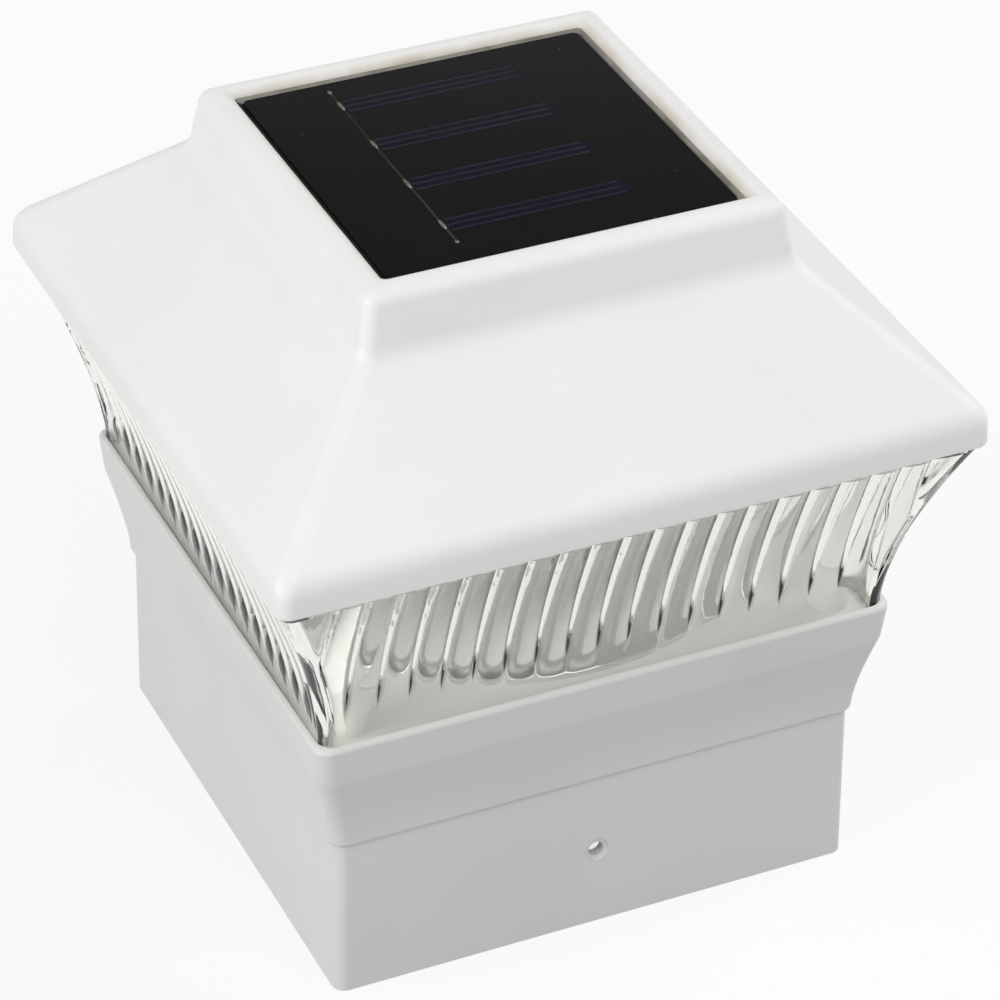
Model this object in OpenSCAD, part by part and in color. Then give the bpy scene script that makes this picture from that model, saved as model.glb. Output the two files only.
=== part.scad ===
// Solar deck post cap light for a square 4x4 post.
// A socket sleeve slips over the post. A flared collar stands on the sleeve and holds the
// electronics bay. A clear fluted lens stands on the collar. A hipped roof with a solar panel
// in its neck closes the top, and four long screws pull roof, lens and collar together.
// Origin: middle of the sleeve's foot, +Z up. The front, with a screw hole, looks along -Y.

/* [Post socket] */
// Inside width of the socket, for a 101.6 mm post with a sliding gap
socket_w = 103; // [98:0.5:112]
// How far the post goes in before it meets the flange
socket_depth = 32.1; // [26:0.1:60]
// Wall of the sleeve at its foot
sleeve_wall = 2.5; // [2:0.1:3.4]
// How much the sleeve's outside draws in from foot to top, on each side
sleeve_draft = 0.3; // [0.2:0.05:1]
// Thickness of the flange that stops the post
flange_t = 2.5; // [2.2:0.1:4]
// Width of the flange, from the socket's wall inward
flange_w = 12.5; // [11.5:0.5:14]
// Outer corner radius of the sleeve
sleeve_corner = 2.5; // [2:0.25:5]
// Diameter of the hole for the screw that holds the cap on the post
post_hole_d = 3.2; // [2.5:0.1:5]
// Height of that hole above the sleeve's foot
post_hole_z = 17.3; // [10:0.1:20]
// How far the crush ribs stand into the socket
rib_proud = 0.45; // [0.2:0.05:0.6]

/* [Collar] */
// Height of the collar from the shut line to its lip
collar_h = 26.7; // [25.4:0.1:34]
// How far the lip stands out past the sleeve's top
collar_flare = 5.1; // [4:0.1:7]
// Wall of the collar
collar_wall = 2; // [1.6:0.1:2.4]
// Thickness of the deck that the lens stands on
deck_t = 2; // [1.6:0.1:2.6]
// How far the deck lies below the lip
lip_depth = 2.2; // [1.6:0.1:3]
// Thickness of the lip round the lens
lip_t = 1.2; // [0.9:0.1:1.8]
// Corner radius of the collar
collar_corner = 3.2; // [2.6:0.2:5]

/* [Lens] */
// Height of the lens that shows between lip and roof
lens_show = 40; // [32:0.5:60]
// How far the lens flares out from foot to top
lens_flare = 12.2; // [10:0.2:16]
// Power of the flare curve; more keeps the foot upright for longer
flare_power = 1.55; // [1.4:0.05:2.2]
// Wall of the lens at the crest of a flute
lens_wall = 3; // [2.6:0.1:3.2]
// Distance from one flute to the next
flute_pitch = 6.25; // [5:0.05:9]
// Depth of the valleys between the flutes
flute_depth = 1.3; // [0.6:0.1:1.6]
// Corner radius of the lens
lens_corner = 2.4; // [1.8:0.2:3]
// Clearance between the lens and the lip round it
lens_gap = 0.25; // [0.15:0.05:0.4]

/* [Roof] */
// How far the roof's rim stands out past the lens
roof_overhang = 1; // [0.5:0.1:3]
// Height of the rim's upright band
rim_band = 3.75; // [3:0.25:9]
// Radius of the rounding between the rim and the slope
rim_round = 6; // [4.5:0.25:8]
// Pitch of the slope, in degrees from level
roof_pitch = 42; // [30:1:50]
// Radius of the hollow rounding between the slope and the neck
neck_round = 5.75; // [4.5:0.25:8]
// Height of the neck's straight wall
neck_h = 5.5; // [4.5:0.1:12]
// Radius of the rounding at the neck's top
top_round = 3.5; // [2:0.25:3.5]
// Wall of the roof
roof_wall = 2.5; // [2:0.1:3]
// Corner radius of the roof's rim
roof_corner = 3.2; // [3:0.2:6]
// Thickness of the tray that closes the roof from below
tray_t = 1.8; // [1.4:0.1:2.5]

/* [Solar panel] */
// Width of the square solar panel
panel_w = 70; // [68:0.5:76]
// Clearance round the panel in its window
panel_gap = 1.3; // [0.6:0.1:1.6]
// Width of the neck's top, from the window to the outer wall
neck_edge = 5.4; // [5.4:0.1:8]
// Depth of the panel's cover below the neck's top
panel_sink = 1.5; // [1.4:0.1:3.5]
// Thickness of the panel's clear cover
cover_t = 1.5; // [0.8:0.05:2]
// Thickness of the panel's board
board_t = 1.2; // [0.8:0.1:2]
// Width of the ledge that carries the panel
ledge_w = 3.8; // [3:0.1:5]
// Length of each strip cell
cell_len = 36; // [24:0.5:44]
// Width of each strip cell
cell_w = 5; // [4.6:0.2:8]
// Distance from one strip cell to the next
cell_pitch = 15.75; // [11:0.25:16.25]

/* [Reflector] */
// Gap between the edge of the reflector dish and the lens
dish_margin = 2.4; // [2.2:0.1:5]
// Width of the dish's flat rim
dish_rim_w = 4; // [3:0.2:6]
// Thickness of the dish
dish_t = 1.2; // [0.8:0.1:1.4]
// Depth of the dish's bowl below its rim
dish_depth = 5; // [3:0.1:5.2]
// Diameter of the cone that spreads the light under the roof
cone_d = 52; // [30:1:80]
// Height of that cone
cone_h = 15; // [8:0.5:20]

/* [Electronics] */
// Diameter of the rechargeable cell, size AA
battery_d = 14.2; // [10.5:0.1:14.5]
// Length of the cell with its button
battery_len = 50.5; // [44:0.1:51]
// Diameter of the light-emitting diode
led_d = 5; // [3:0.1:5.4]
// Thickness of the bay's floor plate
plate_t = 2.4; // [2:0.1:2.8]
// Thickness of the circuit board
pcb_t = 1.6; // [1:0.1:2]
// Travel of the slide switch
switch_travel = 3.4; // [2:0.1:4]
// Thickness of the battery door
door_t = 1.6; // [1.2:0.05:1.7]
// Clearance between the battery door and its recess
door_gap = 0.3; // [0.2:0.05:0.5]

/* [Fasteners] */
// Diameter of the long screws and of the sleeve's screws
screw_d = 3; // [2.5:0.1:3.2]
// Length of the long screws that hold roof, lens and collar together
head_screw_len = 24; // [18:1:32]
// Length of the screws that hold the sleeve
sleeve_screw_len = 12; // [9:1:16]
// Clearance between a screw and its hole
screw_gap = 0.05; // [0.03:0.01:0.1]

/* [Hidden] */
$fn = 48;
// overshoot of cuts past the faces that they open
cut = 1;

// ---- sleeve
post_half = socket_w / 2;
foot_half = post_half + sleeve_wall;
shut_half = foot_half - sleeve_draft;
z_flange = socket_depth;
z_shut = socket_depth + flange_t;
flange_half = post_half - flange_w;
flange_corner = 4;
rib_w = 1.4;
rib_lead = 5;
rib_inset = 19.5;
rib_x = post_half - rib_inset;
foot_bevel = 0.8;
dimple_d = post_hole_d + 1.8;
dimple_deep = 0.4;

// ---- collar
lip_half = shut_half + collar_flare;
lip_round = lip_t - 0.1;
pocket_half = lip_half - lip_t;
z_lip = z_shut + collar_h;
z_deck = z_lip - lip_depth;
cove_foot = 1.8;
cove_start = 1;
band_h = 8.2;
band_draft = 0.7;
cove_power = 1.35;
cove_h = collar_h - cove_foot - band_h;

// ---- lens
lens_half = pocket_half - lens_gap;
lens_top_half = lens_half + lens_flare;
z_rim = z_lip + lens_show;
lens_inner_half = lens_half - lens_wall;
lens_ledge_t = 2;
lens_ledge_w = 6.6;
flute_fade = 11;
// flutes that are whole at the foot of each side, always an odd number
foot_flutes = 2 * floor((lens_half - lens_corner - 1) / flute_pitch - 0.5) + 1;
// straight facets in one flute, always even
flute_steps = 4;
// levels of the fluted wall as shares of the height that shows; below 0 is the deck
lens_steps = [-1, 0, 0.12, 0.26, 0.42, 0.6, 0.8, 1];
lens_inner_corner = 1.4;
lens_seal_w = 1.6;
lens_seal_t = 0.8;
lens_seal_inset = 1;
seal_gap = 0.05;

// ---- screws and their posts
screw_r = screw_d / 2;
hole_r = screw_r + screw_gap;
screw_head_r = screw_d * 0.93;
screw_head_h = screw_d * 0.6;
csk_h = screw_head_r - screw_r;
post_r = 3.5;
post_clear = 1.35;
post_xy = lens_inner_half - post_r - post_clear;
pillar_h = 10.5;
z_pillar = z_deck + pillar_h;
z_head_seat = z_deck - deck_t;
sleeve_post_r = 3.2;
sleeve_post_step = 5.5;
sleeve_post_xy = post_xy - sleeve_post_step;
corners = [[1, 1], [-1, 1], [-1, -1], [1, -1]];

// ---- roof
roof_half = lens_top_half + roof_overhang;
rim_draft = 0.15;
rim_edge = 0.45;
roof_inner_half = roof_half - rim_draft - roof_wall;
turn = 90 - roof_pitch;
window_half = panel_w / 2 + panel_gap;
window_corner = 0.6;
window_round = 0.5;
neck_half = window_half + neck_edge;
neck_draft = 1.05;
neck_corner = 2.8;
neck_foot_half = neck_half + neck_draft;
slope_out = roof_half - rim_draft - rim_round * (1 - cos(turn));
slope_in = neck_foot_half + neck_round * (1 - cos(turn));
z_band = z_rim + rim_band;
z_slope = z_band + rim_round * sin(turn);
z_slope_end = z_slope + (slope_out - slope_in) * tan(roof_pitch);
z_neck = z_slope_end + neck_round * sin(turn);
z_top = z_neck + neck_h + top_round;
arc_steps = 4;
ledge_half = window_half - ledge_w;
ledge_t = 2;
neck_inner_half = neck_foot_half - roof_wall;

// ---- roof tray, seal and cone
z_tray = z_rim + tray_t;
tray_gap = 0.1;
roof_seal_w = 2;
roof_seal_t = 2;
tray_half = roof_inner_half - roof_seal_w - 2 * tray_gap;
shoulder_r = 5.2;
shoulder_h = 6;
stub_r = 3;

// ---- conduit for the panel's leads, beside the back right screw post
conduit_r = 2.6;
conduit_bore_r = 1.9;
conduit_x = post_xy - 8;
conduit_y = post_xy;

// ---- solar panel
panel_seal_t = 0.6;
z_cover = z_top - panel_sink;
z_board_top = z_cover - cover_t;
z_board = z_board_top - board_t;
z_ledge = z_board - panel_seal_t;
board_half = panel_w / 2 - 0.15;
board_corner = 1.5;
cell_t = 0.25;
cell_gap = 0.05;
cell_rows = 4;
cell_x = 0.8;
cell_y = 2.4;
cell_bevel = 1.2;
finger_w = 0.35;
finger_pitch = 1.9;
trace_t = 0.1;
ribbon_w = 0.9;
ribbon_over = 6.5;
ribbon_x = cell_x - cell_len / 2 - 0.7;
cover_room = 0.25;
cover_lip = 0.8;

// ---- reflector dish
dish_r = lens_inner_half - dish_margin;
dish_inner_r = dish_r - dish_rim_w;
deck_hole_r = dish_inner_r + 0.7;
dish_flat_r = 8;
z_dish = z_deck + dish_t;
dish_steps = 10;

// ---- bay floor plate
plate_gap = 0.5;
plate_half = shut_half - collar_wall - plate_gap;
plate_corner = 2;
z_plate = z_shut + plate_t;

// ---- battery bay
bay_y = 18;
bay_side_gap = 0.35;
bay_wall = 1.2;
bay_half_y = battery_d / 2 + bay_side_gap;
battery_lift = 0.9;
battery_z = z_plate + battery_lift + battery_d / 2;
bay_top = battery_z + 5;
button_len = 1;
button_r = 2.75;
spring_len = 5;
contact_t = 0.4;
contact_gap = 0.15;
contact_tab = 1.3;
can_left = -battery_len / 2;
can_right = battery_len / 2 - button_len;
plus_x = battery_len / 2 + contact_gap;
plus_wall_x = plus_x + contact_t + seal_gap;
minus_x = can_left - contact_gap - spring_len;
minus_wall_x = minus_x - contact_t - seal_gap;
opening_left = minus_x + 0.3;
opening_right = plus_x - 0.1;

// ---- battery door, which turns about the lower edge at its +X end
door_end_gap = 0.55;
door_ledge = 2.3;
door_half_y = bay_half_y + door_ledge;
door_left = minus_wall_x - door_ledge;
door_pivot_x = plus_wall_x + bay_wall + door_end_gap;
recess_t = door_t + 0.05;
tongue_w = 4;
tongue_y = 5;
tongue_t = 1;
tongue_gap = 0.2;
tongue_reach = 2.4;
tongue_root = 1.7;
notch_h = 2.6;
latch_w = 7;
latch_len = 8;
slit_w = 0.8;

// ---- circuit board, diode and switch
pcb_z = z_plate + 6;
pcb_top = pcb_z + pcb_t;
pcb_half_x = 30;
pcb_front = -30;
pcb_back = 6;
pcb_screw_r = 1;
pcb_screw_len = 5.5;
pcb_screw_head_r = 1.9;
pcb_screw_head_h = 1.3;
pcb_post_r = 2.6;
pcb_posts = [[-26, -26], [26, -26], [-26, 2], [26, 2]];
choke_at = [-14, -10, 0];
choke_r = 3;
choke_h = 4.5;
capacitor_at = [14, -8, 0];
capacitor_r = 2.5;
capacitor_h = 5;
chip_at = [6, -22];
chip_size = [5, 4, 1.5];
resistors_at = [[-8, -24], [-2, -24]];
resistor_size = [3, 1.6, 0.7];
led_r = led_d / 2;
led_flange_r = led_r + 0.4;
led_flange_t = 1;
led_body_h = 6.1;
led_above = 3.2;
z_led_flange = z_dish - dish_depth + led_above - led_r - led_body_h;
led_hole_gap = 0.3;
leg_r = 0.25;
leg_x = 1.27;
leg_hole_gap = 0.1;
leg_below = 2;
switch_y = -16;
switch_x = 0;
switch_wall = 1.3;
shoe_x = 6.6;
shoe_y = 3.6;
shoe_h = 2.4;
knob_x = 4.6;
knob_y = 3.1;
knob_gap = 0.25;
z_switch = z_plate + 0.2;
switch_floor = 0.8;
z_shoe = z_switch + switch_floor + 0.15;
z_knob = z_flange + 1.3;

// ---- routes of the leads, points chosen by hand and tied to the levels that they join
lead_r = 0.55;
lead_side = 0.65;
panel_lead = [
    [-18, 20, z_board], [-18, 20, z_board - 6], [-12, 24, z_board - 14],
    [10, 36, z_tray + 16], [conduit_x - 4, conduit_y - 3, z_tray + 10],
    [conduit_x, conduit_y, z_tray + 4], [conduit_x, conduit_y, z_rim - 12],
    [conduit_x, conduit_y, z_deck + 4], [conduit_x, conduit_y, z_head_seat - 3],
    [36, 38, z_head_seat - 6], [35, 22, z_head_seat - 7], [34, 4, pcb_top + 4],
    [29, -4, pcb_top + 3.5], [26.5, -6, pcb_top + 2], [26.5, -6, pcb_top]
];
battery_lead_r = 0.5;
battery_lead_x = 21.5;

// ================= shared shapes =================

// Points of a rounded square of half width h and corner radius r at height z
function ring(h, r, z, steps = 5) = [
    for (c = [0:3])
        for (i = [0:steps])
            let (a = 90 * (c + i / steps), mid = 90 * c + 45)
            [
                sign(cos(mid)) * (h - r) + r * cos(a),
                sign(sin(mid)) * (h - r) + r * sin(a),
                z
            ]
];

// Rounded square as an outline
module outline(h, r) {
    polygon([for (p = ring(h, r, 0)) [p.x, p.y]]);
}

// Rounded square slab from z0 up to z1
module slab(h, r, z0, z1) {
    translate([0, 0, z0]) linear_extrude(z1 - z0) outline(h, r);
}

// Square ring, from inner to outer half width, from z0 up to z1
module band(inner, outer, r, z0, z1) {
    difference() {
        slab(outer, r, z0, z1);
        slab(inner, max(0.4, r - (outer - inner)), z0 - cut, z1 + cut);
    }
}

// Closed solid through a stack of rings that have the same number of points
module loft(rings) {
    n = len(rings[0]);
    m = len(rings);
    foot = [for (i = [0:n - 1]) i];
    head = [for (i = [n - 1:-1:0]) (m - 1) * n + i];
    polyhedron(
        [for (r = rings) each r],
        concat([foot], wall_faces(0, n, m), [head]),
        convexity = 6
    );
}

// Straight hole or pin from z0 up to z1
module rod(r, z0, z1) {
    translate([0, 0, z0]) cylinder(h = z1 - z0, r = r);
}

// Box from its low corner to its high corner
module block(low, high) {
    translate(low) cube(high - low);
}

// Copies its children to the four corners of a square
module at_corners(xy) {
    for (c = corners) translate([c.x * xy, c.y * xy, 0]) children();
}

function unit(v) = v / norm(v);

// Rounds off a route by cutting its corners; the ends stay
function round_off(p, times) = times == 0 ? p : round_off([
    p[0],
    for (i = [0:len(p) - 2])
        each [0.75 * p[i] + 0.25 * p[i + 1], 0.25 * p[i] + 0.75 * p[i + 1]],
    p[len(p) - 1]
], times - 1);

function along(p, i) = unit(p[min(i + 1, len(p) - 1)] - p[max(i - 1, 0)]);

// Side direction of a tube at each point, carried along without twist
function sideways(p, i, start) = i == 0
    ? unit(cross(along(p, 0), start))
    : let (t = along(p, i), s = sideways(p, i - 1, start)) unit(s - (s * t) * t);

// Round tube along a route
module tube(p, r, sides = 8, start = [0, 1, 0]) {
    loft([
        for (i = [0:len(p) - 1])
            let (t = along(p, i), s = sideways(p, i, start), u = cross(t, s))
            [for (k = [0:sides - 1])
                let (a = 360 * k / sides) p[i] + r * (cos(a) * s + sin(a) * u)]
    ]);
}

// ================= socket sleeve =================

module post_sleeve() {
    color("whitesmoke") {
        difference() {
            loft([ring(foot_half, sleeve_corner, 0), ring(shut_half, sleeve_corner, z_shut)]);
            slab(post_half, 0.6, -cut, z_flange);
            slab(flange_half, flange_corner, z_flange - cut, z_shut + cut);
            loft([
                ring(post_half + foot_bevel + 0.1, 1, -0.1),
                ring(post_half, 0.6, foot_bevel)
            ]);
            for (side = [0, 180]) rotate([0, 0, side]) post_hole();
            at_corners(sleeve_post_xy) sleeve_screw_hole();
        }
        for (a = [0:90:270]) rotate([0, 0, a]) crush_ribs();
    }
}

// Hole for the mounting screw through the front wall, with a shallow dimple round its mouth
module post_hole() {
    wall_at_hole = foot_half - sleeve_draft * post_hole_z / z_shut;
    translate([0, 0, post_hole_z]) rotate([90, 0, 0]) {
        rod(post_hole_d / 2, post_half - cut, foot_half + cut);
        rod(dimple_d / 2, wall_at_hole - dimple_deep, foot_half + cut);
    }
}

// Countersunk hole through the flange
module sleeve_screw_hole() {
    rod(hole_r, z_flange - cut, z_shut + cut);
    translate([0, 0, z_flange])
        cylinder(h = csk_h + screw_gap, r1 = screw_head_r + screw_gap, r2 = screw_r);
    rod(screw_head_r + screw_gap, z_flange - cut, z_flange + 0.001);
}

// Two upright ribs on the front wall that grip the post
module crush_ribs() {
    for (x = [-rib_x, rib_x])
        block([x - rib_w / 2, -post_half - 0.5, rib_lead],
              [x + rib_w / 2, -post_half + rib_proud, z_flange]);
}

// ================= collar =================

// How far the collar's wall stands out at height h above the shut line
function cove(h) = cove_start + (collar_flare - band_draft - cove_start)
    * pow(max(0, min(1, (h - cove_foot) / cove_h)), cove_power);

collar_profile = concat(
    [[0.2, 0], [0.7, 0.35], [0.95, 1]],
    [for (t = [0:1 / 6:1.001]) [cove(cove_foot + t * cove_h), cove_foot + t * cove_h]],
    [for (a = [0:30:90]) [
        collar_flare - lip_round * (1 - cos(a)),
        collar_h - lip_round * (1 - sin(a))
    ]]
);

module base_collar() {
    color("white") difference() {
        union() {
            difference() {
                loft([for (p = collar_profile) ring(shut_half + p[0], collar_corner, z_shut + p[1])]);
                loft(bay_rings());
                slab(pocket_half, collar_corner - lip_t, z_deck, z_lip + cut);
                rod(deck_hole_r, z_head_seat - cut, z_deck + cut);
                lens_seal_ring(lens_seal_w / 2, cut);
            }
            at_corners(post_xy) rod(post_r, z_head_seat, z_pillar);
            at_corners(sleeve_post_xy) rod(sleeve_post_r, z_plate, z_deck - deck_t / 2);
        }
        at_corners(post_xy) rod(screw_r + 4 * screw_gap, z_head_seat - cut, z_pillar + cut);
        at_corners(sleeve_post_xy)
            rod(hole_r, z_plate - cut, z_flange + sleeve_screw_len + 2);
        translate([conduit_x, conduit_y, 0]) rod(conduit_bore_r, z_head_seat - cut, z_deck + cut);
    }
}

// Hollow under the deck, which follows the collar's outside
function bay_rings() = [
    for (h = [-cut, cove_foot, cove_foot + cove_h / 3, cove_foot + cove_h * 2 / 3,
              cove_foot + cove_h, z_head_seat - z_shut])
        ring(shut_half - collar_wall + cove(h) - cove_start, collar_corner - 1, z_shut + h)
];

// Square ring in the deck under the lens, w to each side of its middle line, open above by top
module lens_seal_ring(w, top) {
    mid = lens_half - lens_seal_inset - lens_seal_w / 2;
    band(mid - w, mid + w, 2, z_deck - lens_seal_t, z_deck + top);
}

module lens_seal() {
    color("dimgray") lens_seal_ring(lens_seal_w / 2 - seal_gap, 0);
}

// ================= lens =================

// Half width of the lens over the crests of its flutes, at height z
function lens_at(z) = lens_half
    + lens_flare * pow(max(0, (z - z_lip) / lens_show), flare_power);

// Depth of the valleys at height z, which fade out towards the foot
function valley_at(z) = let (t = max(0, min(1, (z - z_lip) / flute_fade)))
    flute_depth * t * t * (3 - 2 * t);

// Place of the outermost valley on a side, which fans out with the flare
function last_valley(z) = min(
    (foot_flutes / 2 + 1) * flute_pitch,
    lens_at(z) - lens_corner - 0.3
);

// Inward step of the round flute face; f runs from one valley, at 0, to the next, at 1
function lobe(f) = let (k = 2 * f - 1) (1 - sqrt(1 - 0.9 * k * k)) / (1 - sqrt(0.1));

// Places of the valleys along one side at height z
function valleys(z) = concat(
    [-last_valley(z)],
    [for (i = [0:foot_flutes]) (i - foot_flutes / 2) * flute_pitch],
    [last_valley(z)]
);

// One side of the lens at height z as [place along the side, distance from the axis]
function side_points(z, steps) = let (
    v = valleys(z), h = lens_at(z), d = valley_at(z),
    end = h - lens_corner, over = (end - last_valley(z)) / 2
) concat(
    [[-last_valley(z) - over, h - d * lobe(0.25)]],
    [for (i = [0:len(v) - 2]) for (j = [0:steps - 1])
        [v[i] + (v[i + 1] - v[i]) * j / steps, h - d * lobe(j / steps)]],
    [[last_valley(z), h - d], [last_valley(z) + over, h - d * lobe(0.25)]],
    [for (a = [0:22.5:90]) [end + lens_corner * sin(a), end + lens_corner * cos(a)]]
);

// One side of the plain inner wall at half width h, with a point behind each valley
function inner_points(z, h) = let (
    end = h - lens_inner_corner,
    squeeze = min(1, (end - 0.2) / last_valley(z))
) concat(
    [for (v = valleys(z)) [v * squeeze, h]],
    [for (a = [0:45:90]) [end + lens_inner_corner * sin(a), end + lens_inner_corner * cos(a)]]
);

// Turns the points of one side into the whole outline at height z
function all_round(side, z) = [
    for (c = [0:3])
        for (p = side)
            let (a = 90 * c)
            [p[0] * cos(a) + p[1] * sin(a), p[0] * sin(a) - p[1] * cos(a), z]
];

// Point of the inner wall that faces point i of the fluted wall, both counted on one side
function facing(i) = let (flutes = foot_flutes + 2, last = flutes * flute_steps + 1)
    i <= 1 ? 0
    : i <= last ? round((i - 1) / flute_steps)
    : i == last + 1 ? flutes
    : flutes + 1 + round((i - last - 2) / 2);

// The fluted wall, the ledge under the roof and the plain inner wall, as one closed skin
module lens() {
    outer = [for (t = lens_steps)
        let (z = t < 0 ? z_deck : z_lip + t * lens_show)
        all_round(side_points(z, flute_steps), z)];
    inner = concat(
        [for (z = [z_rim, z_rim - lens_ledge_t])
            all_round(inner_points(z, lens_top_half - lens_ledge_w), z)],
        [for (t = [1, 0.75, 0.5, 0.25, 0, -1])
            let (z = t == 1 ? z_rim - lens_ledge_t : t < 0 ? z_deck : z_lip + t * lens_show)
            all_round(inner_points(z, lens_at(z) - lens_wall), z)]
    );
    n = len(outer[0]);
    m = len(inner[0]);
    top = (len(outer) - 1) * n;
    first = len(outer) * n;
    last = first + (len(inner) - 1) * m;
    partner = [for (i = [0:n - 1]) floor(i / (n / 4)) * m / 4 + facing(i % (n / 4))];
    color("lightcyan", 0.45) polyhedron(
        [for (r = concat(outer, inner)) each r],
        concat(
            wall_faces(0, n, len(outer)),
            wall_faces(first, m, len(inner)),
            [for (i = [0:n - 1])
                let (k = (i + 1) % n, q = partner[i], r = partner[k])
                each concat(
                    [[top + i, first + q, top + k], [last + q, i, k]],
                    q == r ? [] : [[top + k, first + q, first + r], [last + q, k, last + r]]
                )]
        ),
        convexity = 8
    );
}

// Faces between rings that follow each other, n points each, from point number start on
function wall_faces(start, n, count) = [
    for (j = [0:count - 2])
        for (i = [0:n - 1])
            let (k = (i + 1) % n, low = start + j * n, high = low + n)
            each [[low + i, high + i, high + k], [low + i, high + k, low + k]]
];

// ================= roof =================

// Outside of the roof as [half width, corner radius, height], from rim to neck
roof_profile = concat(
    [[roof_half - rim_edge, roof_corner, z_rim], [roof_half, roof_corner, z_rim + rim_edge]],
    [for (i = [0:arc_steps]) let (a = turn * i / arc_steps) [
        roof_half - rim_draft - rim_round * (1 - cos(a)), roof_corner,
        z_band + rim_round * sin(a)
    ]],
    [for (i = [0:arc_steps]) let (a = turn * (1 - i / arc_steps)) [
        neck_foot_half + neck_round * (1 - cos(a)), neck_corner,
        z_neck - neck_round * sin(a)
    ]],
    [for (i = [0:arc_steps]) let (a = 90 * i / arc_steps) [
        neck_half - top_round * (1 - cos(a)),
        max(window_corner, neck_corner - top_round * (1 - cos(a))),
        z_top - top_round * (1 - sin(a))
    ]]
);

// Hollow of the roof, one wall inside the profile
roof_hollow = concat(
    [[roof_inner_half, roof_corner - 2, z_rim - cut]],
    [for (i = [0:arc_steps]) let (a = turn * i / arc_steps) [
        roof_half - rim_draft - rim_round + (rim_round - roof_wall) * cos(a), roof_corner - 2,
        z_band + (rim_round - roof_wall) * sin(a)
    ]],
    [for (i = [0:arc_steps]) let (a = turn * (1 - i / arc_steps)) [
        neck_foot_half + neck_round - (neck_round + roof_wall) * cos(a), neck_corner - 2,
        z_neck - (neck_round + roof_wall) * sin(a)
    ]],
    [[neck_inner_half - 0.3, neck_corner - 2, z_ledge - ledge_t]]
);

module roof_cap() {
    color("white") difference() {
        union() {
            difference() {
                loft([for (p = roof_profile) ring(p[0], p[1], p[2])]);
                loft([for (p = roof_hollow) ring(p[0], p[1], p[2])]);
            }
            intersection() {
                at_corners(post_xy) rod(post_r, z_pillar, z_top);
                loft([
                    ring(roof_half, roof_corner, z_pillar - cut),
                    for (p = roof_profile) ring(p[0], p[1], p[2])
                ]);
            }
            at_corners(post_xy) rod(shoulder_r, z_tray, z_tray + shoulder_h);
        }
        slab(ledge_half, 2, z_ledge - ledge_t - cut, z_ledge + cut);
        loft([
            ring(window_half, window_corner, z_ledge),
            ring(window_half, window_corner, z_top - window_round),
            ring(window_half + 0.3 * window_round, window_corner, z_top - 0.3 * window_round),
            ring(window_half + window_round, window_corner, z_top),
            ring(window_half + window_round, window_corner, z_top + cut)
        ]);
        at_corners(post_xy) rod(hole_r, z_pillar - cut, z_head_seat + head_screw_len + 1.5);
    }
}

module roof_tray() {
    color("gainsboro") difference() {
        slab(tray_half, 2, z_rim, z_tray);
        at_corners(post_xy) rod(post_r + 0.3, z_rim - cut, z_tray + cut);
        translate([conduit_x, conduit_y, 0]) rod(conduit_bore_r, z_rim - cut, z_tray + cut);
        rod(stub_r + tray_gap, z_rim - cut, z_tray + cut);
    }
}

module roof_seal() {
    color("dimgray")
        band(tray_half + tray_gap, roof_inner_half - tray_gap, 2, z_rim, z_rim + roof_seal_t);
}

// Silvered cone with a hollow flank and a stub that clips into the tray
module spreader_cone() {
    steps = 8;
    color("silver") rotate_extrude() polygon(concat(
        [for (i = [0:steps]) let (t = i / steps)
            [cone_d / 2 * t, z_rim - 1 - (cone_h - 1) * pow(1 - t, 1.6)]],
        [[cone_d / 2, z_rim], [stub_r, z_rim], [stub_r, z_tray + 0.6],
         [stub_r - 0.8, z_tray + 1.4], [0, z_tray + 1.4]]
    ));
}

module wire_conduit() {
    color("white", 0.6) translate([conduit_x, conduit_y, 0]) difference() {
        rod(conduit_r, z_deck, z_rim);
        rod(conduit_bore_r, z_deck - cut, z_rim + cut);
    }
}

// ================= solar panel =================

module panel_seal() {
    color("black")
        band(ledge_half + 0.4, window_half - 0.2, window_corner, z_ledge, z_board);
}

// Places of the strip cells, front row last
function cell_row_y(i) = cell_y + ((cell_rows - 1) / 2 - i) * cell_pitch;

// Outline of one strip cell, with its far end bevelled; gap makes it larger all round
module cell_outline(gap) {
    x0 = cell_x - cell_len / 2 - gap;
    x1 = cell_x + cell_len / 2 + gap;
    y = cell_w / 2 + gap;
    polygon([
        [x0, -y], [x1 - cell_bevel, -y], [x1, -y + cell_bevel],
        [x1, y - cell_bevel], [x1 - cell_bevel, y], [x0, y]
    ]);
}

module panel_board() {
    color("black") difference() {
        slab(board_half, board_corner, z_board, z_board_top);
        for (i = [0:cell_rows - 1])
            translate([0, cell_row_y(i), z_board_top - cell_t])
                linear_extrude(cell_t + cut) cell_outline(cell_gap);
    }
}

module panel_cells() {
    color("midnightblue")
        for (i = [0:cell_rows - 1])
            translate([0, cell_row_y(i), z_board_top - cell_t])
                linear_extrude(cell_t) cell_outline(0);
}

module panel_fingers() {
    color("slategray")
        for (i = [0:cell_rows - 1])
            for (j = [-1:1])
                translate([0, cell_row_y(i) + j * finger_pitch, 0])
                    block([cell_x - cell_len / 2 + 0.1, -finger_w / 2, z_board_top],
                          [cell_x + cell_len / 2 - cell_bevel, finger_w / 2,
                           z_board_top + trace_t]);
}

module panel_ribbon() {
    reach = (cell_rows - 1) / 2 * cell_pitch + ribbon_over;
    color("silver")
        block([ribbon_x - ribbon_w / 2, cell_y - reach, z_board_top],
              [ribbon_x + ribbon_w / 2, cell_y + reach, z_board_top + trace_t]);
}

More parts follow.
